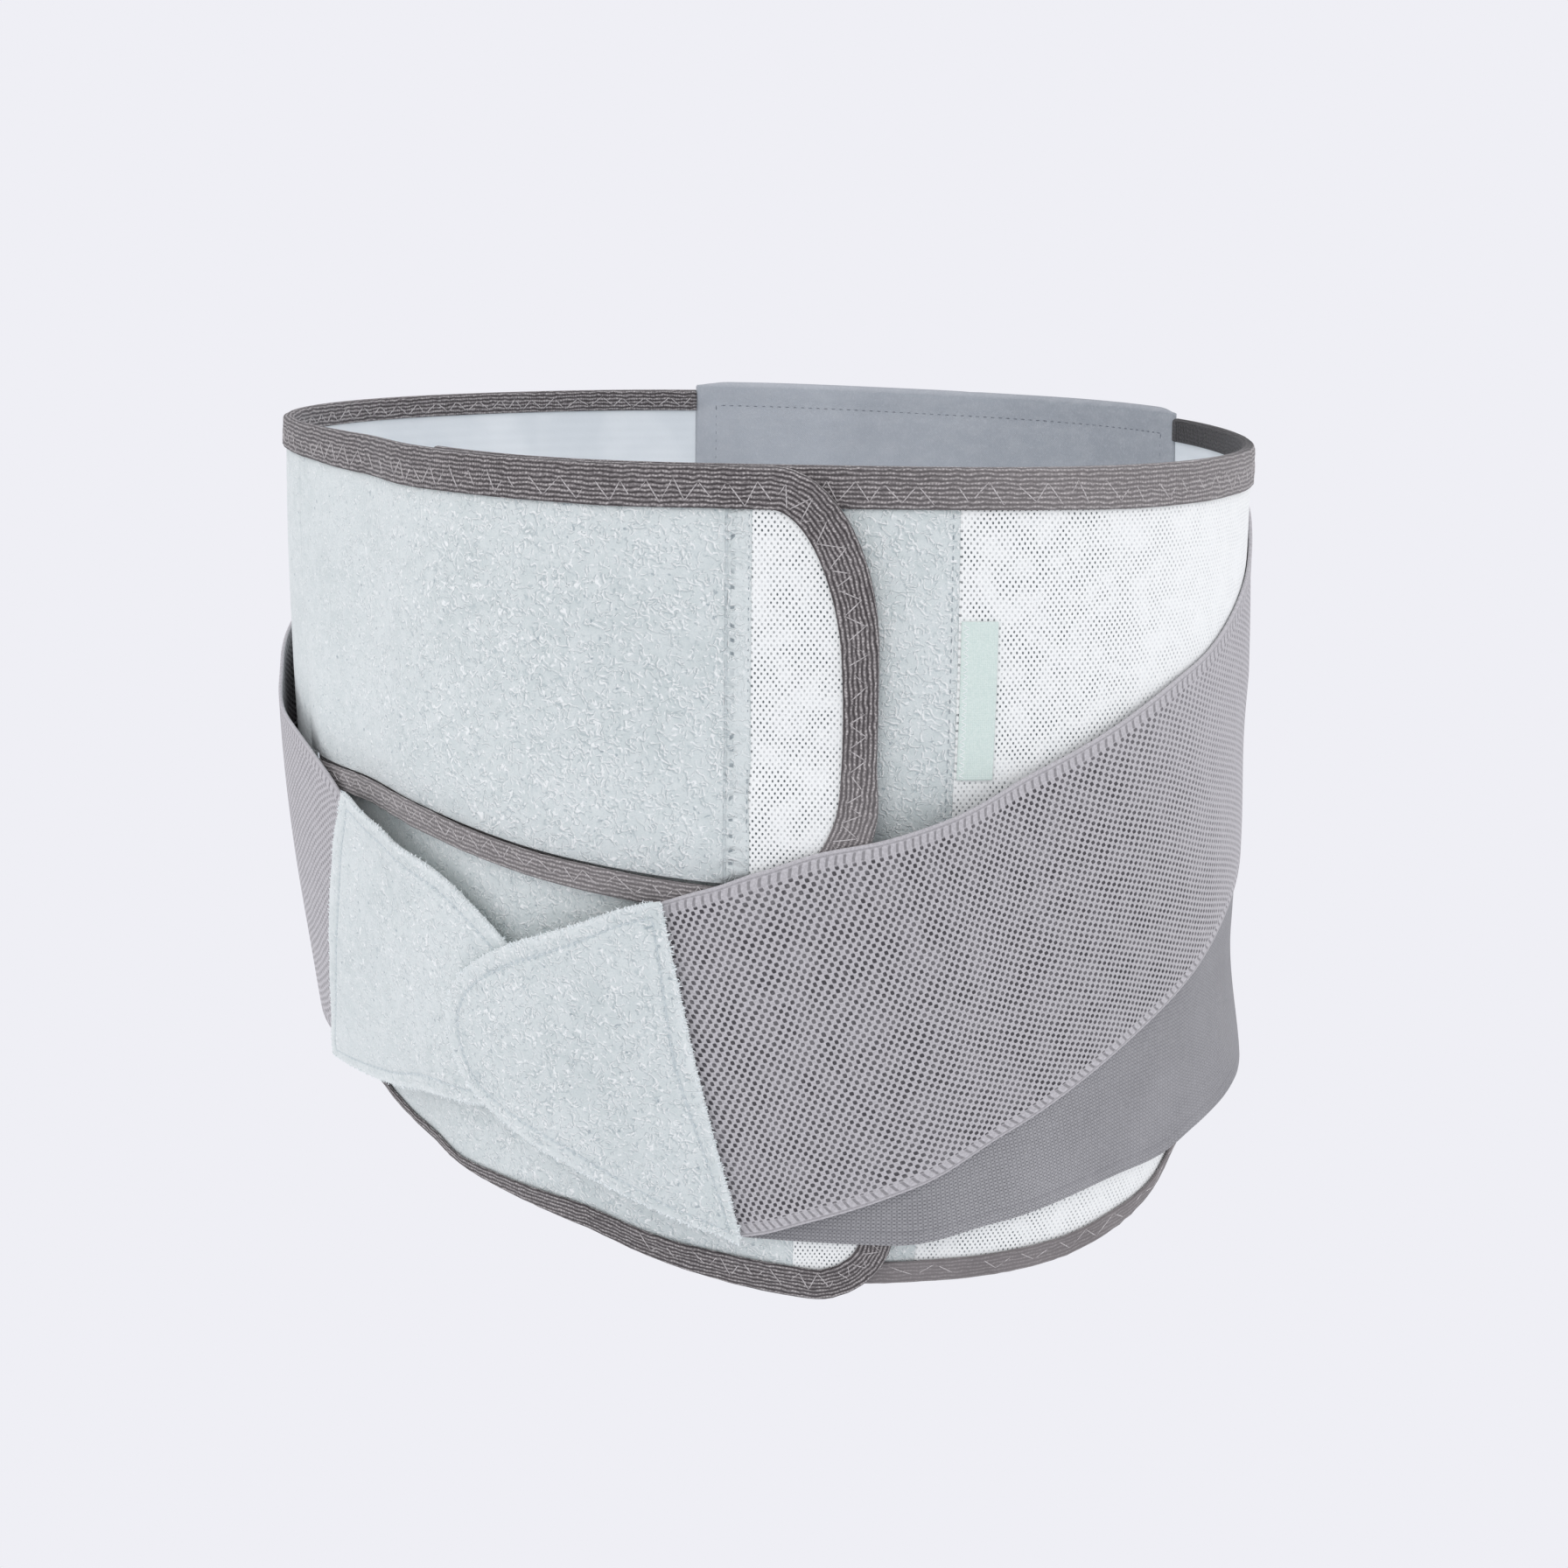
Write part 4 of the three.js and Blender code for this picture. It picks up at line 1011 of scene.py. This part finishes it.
bindings, tape_sewing = [], []
for name, node, path, lift, look, wide, pitch in (
    ("left_top_binding", "left_top_tape", top_left, ease, LEFT_TAPE_LOOK, tape_wide, 8.0),
    ("left_bottom_binding", "left_bottom_tape", low_left, ease, SMOOTH_TAPE_LOOK, left_low_wide, 13.0),
    ("upper_tongue_binding", "upper_tongue_tape", upper_path, upper_lift, UPPER_TAPE_LOOK, tape_wide, 8.0),
    ("lower_tongue_binding", "lower_tongue_tape", lower_path, lower_lift, TAPE_LOOK, low_wide, 8.0),
):
    wide = wide(*path[:2])
    bindings.append(goes(tape(name, *path, lift, look, wide), "tape", node))
    sewn = path[0] > (16 if path is lower_path else -400)
    tape_sewing += zigzag(part_of(path, sewn), lift, wide[sewn], pitch)
    path = part_of(path, path[0] < 215)
    tape_sewing += zigzag(path, lift, np.full(len(path[0]), 7.2), inside=True)
tape_stitches = goes(threads("binding_zigzag", tape_sewing, 0.2, PALE_THREAD), "tape")

# Straps

LEFT_NET = (
    (0, 0.67, 0.76), (0.08, 0.682, 0.97), (0.13, 0.671, 1.02), (0.18, 0.651, 1.03), (0.25, 0.627, 1.01),
    (0.39, 0.552, 0.98), (0.55, 0.448, 0.903), (0.62, 0.41, 0.868), (0.7, 0.361, 0.851),
    (0.77, 0.323, 0.853), (0.85, 0.28, 0.865), (1, 0.228, 0.847),
)
LEFT_PLAIN = (
    (0, 0.67, 0.82), (0.13, 0.713, 1), (0.29, 0.717, 1), (0.41, 0.695, 1), (0.56, 0.65, 1),
    (0.62, 0.644, 1), (0.673, 0.623, 1), (0.72, 0.606, 1), (0.78, 0.591, 1), (1, 0.584, 1),
)
RIGHT_NET = (
    (0, 0.616, 0.75), (0.06, 0.606, 0.89), (0.18, 0.588, 1), (0.33, 0.528, 1),
    (0.51, 0.442, 0.98), (0.73, 0.332, 0.93), (1, 0.228, 0.895),
)
RIGHT_PLAIN = (
    (0, 0.62, 0.85), (0.195, 0.616, 1), (0.3, 0.6, 1), (0.5, 0.602, 1), (0.75, 0.597, 1), (1, 0.584, 1),
)
LEFT_SEWN, RIGHT_SEWN = LEFT_AT - SEWN_BEFORE, RIGHT_AT + SEWN_BEFORE
LEFT_STRAP_END = LEFT_TAB_AT["edge"] - UNDER_TAB
RIGHT_STRAP_END = RIGHT_TAB_AT["edge"] + UNDER_TAB + RIGHT_OVER


class Strap:
    def __init__(self, table, width, start, end):
        self.rows, self.width, self.start, self.end = np.array(table), width, start, end

    def value(self, column, s):
        return read(self.rows[:, [0, column]], (s - self.start) / (self.end - self.start))

    def top(self, s):
        return self.value(1, s) * FRONT - self.value(2, s) * self.width / 2

    def bottom(self, s):
        return self.value(1, s) * FRONT + self.value(2, s) * self.width / 2

    def middle(self, s):
        return (self.top(s) + self.bottom(s)) / 2

    def sheet(self, name, inner, look, full):
        low, high = sorted((self.start, self.end))
        s, drop = panel_grid(grid_lines(low, high, 2.5), self.top, self.bottom, 2.5)
        line = grid_lines(low, high, 1.0)
        run = lengths(on_body(line, self.middle(line), 0))
        slope = np.gradient(self.middle(line), line)
        # Across the strap, the weave runs square to its middle line
        first, last = (40, 10) if self.end > 0 else (10, 40)
        steady = np.interp(np.clip(line, low + first, high - last), line, slope)
        steady = np.convolve(np.pad(steady, 20, mode="edge"), np.ones(41) / 41, mode="valid")
        tilt = np.interp(s, line, steady)
        u = np.interp(s, line, run) + (drop - self.middle(s)) * tilt / np.sqrt(1 + tilt**2)
        v = (drop - self.top(s)) / (self.bottom(s) - self.top(s)) * full
        return cloth(name, s, drop, inner, STRAP, look, uv=(u, v), round_by=0.3)


left_plain = Strap(LEFT_PLAIN, PLAIN_WIDE, LEFT_STRAP_END - TUCK, LEFT_SEWN)
left_net = Strap(LEFT_NET, NET_WIDE, LEFT_STRAP_END, LEFT_SEWN)
right_plain = Strap(RIGHT_PLAIN, PLAIN_WIDE - NARROWING, RIGHT_STRAP_END + TUCK, RIGHT_SEWN)
right_net = Strap(RIGHT_NET, NET_WIDE - NARROWING, RIGHT_STRAP_END, RIGHT_SEWN)
ON_PANEL = TAPE_OUT + LAY


def come_down(plain, s, drop):
    return (PLAIN_OVER + OVER_STRAP - ON_PANEL) * ramp(drop, plain.top(s) - 30, plain.top(s) - 60)


def on_tongues(s):
    return blend(s, LOWER_END + 32, LOWER_END + 4)


def stand_off(s, drop):
    first = LEFT_STRAP_END + 0.6 * (LEFT_SEWN - LEFT_STRAP_END)
    along = blend(s, first, 0.8 * LEFT_SEWN) * blend(s, LEFT_SEWN, 0.9 * LEFT_SEWN)
    return STANDOFF * along * blend(drop, 0.76 * HIP, 1.05 * HIP)


def left_plain_lift(s, drop):
    return PLAIN_OVER + OVER_LEFT * on_tongues(s) + stand_off(s, drop) + ease(s, drop)


def left_net_lift(s, drop):
    over = OVER_LEFT + OVER_SPLIT - PLAIN_OVER - OVER_STRAP
    lift = PLAIN_OVER + OVER_STRAP + over * on_tongues(s)
    # Round the hip its upper part lies close to the panel
    close = 1.1 * blend(s, 150, 190) * blend(s, 285, 262) * blend(drop, 118, 80)
    return lift - come_down(left_plain, s, drop) * (1 - on_tongues(s)) - close + ease(s, drop)


def on_split(s):
    return blend(s, SPLIT_ROOT - 34, SPLIT_ROOT - 6)


def right_plain_lift(s, drop):
    return PLAIN_OVER + (OVER_SPLIT - PLAIN_OVER) * on_split(s) + over_left(s) + ease(s, drop)


def right_net_lift(s, drop):
    return right_plain_lift(s, drop) + OVER_STRAP - come_down(right_plain, s, drop) * (1 - on_split(s))


STRAPS = (
    (left_plain, "left", "plain", left_plain_lift), (left_net, "left", "net", left_net_lift),
    (right_plain, "right", "plain", right_plain_lift), (right_net, "right", "net", right_net_lift),
)
for strap, side, slot, lift in STRAPS:
    woven = (PLAIN, PLAIN_WIDE) if slot == "plain" else (NET, NET_WIDE)
    strap.obj = goes(strap.sheet(f"{side}_{slot}_elastic", lift, *woven), slot, f"{side}_{slot}_strap")

# Tabs

LEFT_TAB = (
    (0, 0.985, 1), (0.084, 0.665, 0.965), (0.136, 0.44, 0.953), (0.188, 0.17, 0.938), (0.22, 0, 0.925),
    (0.32, 0.02, 0.885), (0.405, 0.058, 0.855), (0.537, 0.11, 0.8), (0.709, 0.173, 0.74),
    (0.828, 0.237, 0.69), (0.91, 0.293, 0.648), (0.963, 0.35, 0.596), (0.993, 0.416, 0.516), (1, 0.45, 0.48),
)
RIGHT_TAB = (
    (0, 0.975, 1), (0.066, 0.8, 0.995), (0.155, 0.474, 0.986), (0.249, 0.16, 0.976), (0.31, 0, 0.968),
    (0.36, 0.005, 0.96), (0.473, 0.056, 0.925), (0.571, 0.1, 0.9), (0.716, 0.16, 0.877),
    (0.816, 0.246, 0.84), (0.853, 0.288, 0.81), (0.944, 0.4, 0.72), (1, 0.53, 0.6),
)


def over_straps(s):
    return 2 * OVER_STRAP + over_left(np.minimum(s, RIGHT_STRAP_END + TUCK))


def right_tab_lift(s, drop):
    """The free upper edge stands a little off the tongues before the left tab holds it down."""
    at = RIGHT_TAB_AT
    share = (s - at["edge"]) / at["length"]
    top = at["drop"] + at["width"] * np.interp(share, *np.array(RIGHT_TAB).T[:2])
    free = blend(share, 0.3, 0.42) * blend(share, 0.66, 0.52) * blend(drop, top + 16, top)
    return OVER_SPLIT + LAY + np.maximum(over_left(s), over_straps(s)) + 2.4 * free + ease(s, drop)


def left_tab_lift(s, drop):
    return OVER_LEFT + OVER_SPLIT + max(TAB, STRAP) + 3 * LAY + ease(s, drop)


def tab_outline(table, edge, length, width, drop, toward):
    """The tab's outline as (s, drop) places, softened everywhere but at the wide edge's corners."""
    at, high, low = np.array(table).T
    top, bottom = (np.stack([edge + toward * at * length, drop + side * width], 1) for side in (high, low))
    corner = list(high).index(0)

    def finer(points, n, soft):
        run = lengths(points)
        t = np.linspace(0, run[-1], n)
        out = np.stack([np.interp(t, run, points[:, i]) for i in (0, 1)], 1)
        for _ in range(soft):
            out[1:-1] = (out[:-2] + 2 * out[1:-1] + out[2:]) / 4
        return out

    cut, rest = top[: corner + 1], np.vstack([top[corner:], bottom[::-1]])
    return np.vstack([finer(rest[::-1], 220, 30)[:-1], finer(cut[::-1], 80, 8)[:-1]])


def tab_sheet(name, table, where, lift):
    """Rings from the outline inward, so that the cut edge and the topstitching follow it."""
    outline = tab_outline(table, **where)
    middle = outline.mean(0)
    size = np.linalg.norm(outline - middle, axis=1)
    n = len(outline)
    insets = (0.0, 0.35, 1.0, 2.0, 3.2, 4.2, 4.7, 5.1, 5.5, 6.0, 7.0, 9.0, 12.0)
    rings = [outline + (middle - outline) * (i / size)[:, None] for i in insets]
    rings += [rings[-1] + (middle - rings[-1]) * k for k in (0.12, 0.26, 0.4, 0.54, 0.68, 0.82, 0.94)]
    s, d = np.stack(rings).transpose(2, 0, 1)
    inset = np.stack([np.linalg.norm(outline - r, axis=1) for r in rings])
    low = lift(s, d)
    groove = -0.4 * bell(inset - TOPSTITCH, 0.8)
    puff = 0.25 * noise(s / 9 + 40, d / 9 + 11, 21) * ramp(inset, 5.5, 9)
    lip = 0.18 * noise(s / 5 + 3, d / 5 + 8, 23) * (1 - ramp(inset, 0, 4))
    outside, inside = on_body(s, d, low + TAB + groove + puff + lip), on_body(s, d, low)
    m = len(rings)
    out_dir = outside[0] - outside[1]
    out_dir /= norms(out_dir) + 1e-9
    rim = (outside[0] + inside[0]) / 2 + out_dir * TAB * 0.28
    hubs = [on_body(*middle, lift(*middle) + up) for up in (TAB, 0)]
    points = np.vstack([outside.reshape(-1, 3), inside.reshape(-1, 3), rim, hubs])
    total = n * m
    faces = []
    for side in (0, 1):
        ids = np.arange(total).reshape(m, n) + side * total
        quad = round_faces(ids)
        hub = np.stack([ids[-1], np.roll(ids[-1], -1), np.full(n, 2 * total + n + side)], 1)
        if side:
            quad, hub = quad[:, ::-1], hub[:, [1, 0, 2]]
        faces += quad.tolist() + hub.tolist()
    k = np.arange(n)
    nxt = np.roll(k, -1)
    edge = 2 * total
    faces += np.stack([nxt, k, edge + k, edge + nxt], 1).tolist()
    faces += np.stack([edge + nxt, edge + k, total + k, total + nxt], 1).tolist()
    around = np.repeat(np.linspace(0, 300, n)[None, :], m, 0)
    uv = np.stack([inset.ravel(), around.ravel()], 1)
    uvs = np.vstack([uv, uv, uv[:n], [[40, 0]], [[40, 0]]])
    stitched = outline + (middle - outline) * (TOPSTITCH / size)[:, None]
    tab = face_out(make(name + "_fleece", points, faces, uvs, [TAB_FLEECE]))
    return goes(tab, "fleece", name), outline, np.vstack([stitched, stitched[:1]])


left_tab, left_outline, left_stitched = tab_sheet("left_tab", LEFT_TAB, LEFT_TAB_AT, left_tab_lift)
right_tab, right_outline, right_stitched = tab_sheet("right_tab", RIGHT_TAB, RIGHT_TAB_AT, right_tab_lift)


def fuzz(name, tabs, look):
    """Loose fibres along the cut edges of the tabs, about five per millimetre."""
    pick = np.random.RandomState(7)
    points, faces = [], []
    for outline, lift in tabs:
        closed = np.vstack([outline, outline[:1]])
        run = lengths(closed)
        for t in pick.uniform(0, run[-1] - 0.6, int(run[-1] * 5)):
            place, after = (
                np.array([np.interp(x, run, closed[:, i]) for i in (0, 1)]) for x in (t, t + 0.5)
            )
            along = (after - place) / np.linalg.norm(after - place)
            off = np.array([along[1], -along[0]])
            if np.dot(off, place - outline.mean(0)) < 0:
                off = -off
            turn, bend = pick.uniform(-1.0, 1.0, 2)
            reach = pick.uniform(0.4, 1.7) * pick.uniform(0.4, 1)
            path = [place - 0.5 * off]
            for a, far in ((turn, 0.5 + reach * 0.5), (turn + bend, reach * 0.5)):
                path.append(path[-1] + (off * math.cos(a) + along * math.sin(a)) * far)
            high = TAB * pick.uniform(0.2, 1.05)
            base = len(points)
            for place, wide, more in zip(path, (0.24, 0.18, 0.05), (0, 0.1, pick.uniform(-0.3, 0.4))):
                for side in (-1, 1):
                    at = place + along * wide * side
                    points.append(on_body(*at, lift(*at) + high + more))
            faces += [(base, base + 1, base + 3, base + 2), (base + 2, base + 3, base + 5, base + 4)]
    return make(name, np.array(points), faces, np.zeros((len(points), 2)), [look])


tab_fuzz = goes(
    fuzz("tab_edge_fuzz", ((left_outline, left_tab_lift), (right_outline, right_tab_lift)), FIBRE), "fleece"
)
tab_sewing = []
for path, lift in ((left_stitched, left_tab_lift), (right_stitched, right_tab_lift)):
    tab_sewing += sew(path, lambda s, d: lift(s, d) + TAB - 0.35, 1.9, 0.5, 0.8)
tab_stitches = goes(threads("tab_topstitching", tab_sewing, 0.17, GREY_THREAD), "fleece")

# Seams

seam_sewing = []
for at, low_drop, lift in ((UPPER_SEAM - 0.7, 112.0, upper_lift), (LEFT_SEAM - 2.0, 228.0, ease)):
    seam_sewing += sew(column(at, 12.5, low_drop), lambda s, d: lift(s, d) + PANEL - 0.15, 1.3, 1.5, 0.8)
seam_stitches = goes(threads("seam_stitching", seam_sewing, 0.2, SEAM_THREAD), "fleece")

# The straps are sewn down at the back by two rows of stitches each
strap_sewing = []
for strap, side, slot, lift in (STRAPS[1], STRAPS[0], STRAPS[3], STRAPS[2]):
    for inset in (2.5, 7.0):
        at = strap.end - math.copysign(inset, strap.end)
        row = column(at, strap.top(at) + 3, strap.bottom(at) - 3)
        strap_sewing += sew(row, lambda s, d: lift(s, d) + STRAP - 0.1, 1.9, 0.8, 0.9)
goes(threads("strap_end_stitching", strap_sewing, 0.2, PALE_THREAD), "plain")

# The pad's inner face is sewn along its top and ends, the outer one all round
pad_top = PAD_SEWN - PAD_RISE
pad_sides = PAD_FROM + PAD_SEWN, PAD_TO - PAD_SEWN
across = np.linspace(*pad_sides, 160)
side_rows = [column(at, pad_top, BACK - 10, 120) for at in pad_sides]
pad_low = pad_bottom(across) - PAD_SEWN
top_row, low_row = (np.stack([across, row], 1) for row in (0 * across + pad_top, pad_low))
pad_sewing = []
for row in (top_row, *side_rows):
    pad_sewing += [(a, b, -n, k) for a, b, n, k in sew(row, pad_inner, 2.2, 0.8, 0.5)]
for row in (*side_rows, top_row, low_row):
    pad_sewing += sew(row, lambda s, d: pad_inner(s, d) + pad_thick(s, d) - 0.05, 2.2, 0.8, 0.9)
goes(threads("pad_topstitching", pad_sewing, 0.22, DARK_THREAD), "pad")

# Label

def label_lift(s, d):
    return PANEL + LAY + ease(s, d)


label_from = LEFT_SEAM + GAP
label_s, label_d = panel_grid(
    grid_lines(label_from, label_from + LABEL_WIDE, 1.2, 0.2),
    lambda s: LABEL_DROP + 0 * s, lambda s: LABEL_DROP + LABEL_LONG + 0 * s, 1.5,
)
label = cloth("seam_label_satin", label_s, label_d, label_lift, LABEL, LABEL_LOOK, round_by=0.2)
goes(label, "label", "seam_label")
label_sewing = []
at, out = LABEL_DROP + 0.8, True
while at < LABEL_DROP + LABEL_LONG - 0.8:
    a, b = (label_from + (0.3 if out else 1.9), at), (label_from + (1.9 if out else 0.3), at + 0.95)
    p, q = (on_body(*v, PANEL + LAY + LABEL + ease(*v)) for v in (a, b))
    label_sewing.append((p, q, normal_at(*a, 0), 1.0))
    at, out = at + 0.95, not out
label_stitches = goes(threads("label_zigzag", label_sewing, 0.17, WHITE_THREAD), "label")

# Stage and lights

PALE, WARM = srgb(239, 239, 245), (1.0, 0.975, 0.94)
FLOOR_HALF, FLOOR_AT = 9000, -420
stage = bpy.data.materials.new("stage")
stage.use_nodes = True
nodes = stage.node_tree.nodes
nodes.clear()
shown = nodes.new("ShaderNodeEmission")
shown.inputs[0].default_value = PALE
end = nodes.new("ShaderNodeOutputMaterial")
stage.node_tree.links.new(shown.outputs[0], end.inputs[0])
corners = [(x * FLOOR_HALF, y * FLOOR_HALF, FLOOR_AT) for x, y in ((-1, -1), (1, -1), (1, 1), (-1, 1))]
floor = make("floor", corners, [(0, 1, 2, 3)], materials=[stage])

world = bpy.data.worlds.new("world")
bpy.context.scene.world = world
world.use_nodes = True
air = world.node_tree.nodes["Background"].inputs
air[0].default_value, air[1].default_value = PALE, 1.0


def area_light(name, at, size, power):
    data = bpy.data.lights.new(name, "AREA")
    data.shape, data.size, data.energy, data.color = "DISK", size, power, WARM
    obj = add(name, data)
    obj.location = at
    obj.rotation_mode = "QUATERNION"
    obj.rotation_quaternion = (-Vector(at)).to_track_quat("-Z", "Y")


area_light("key", (0.3, -1.6, 1.2), 1.2, 4.5)
area_light("left", (-1.7, -0.5, 0.1), 1.0, 3.0)
area_light("right", (1.6, 0.6, 0.6), 1.0, 3.5)
bpy.context.scene.view_settings.view_transform = "Standard"
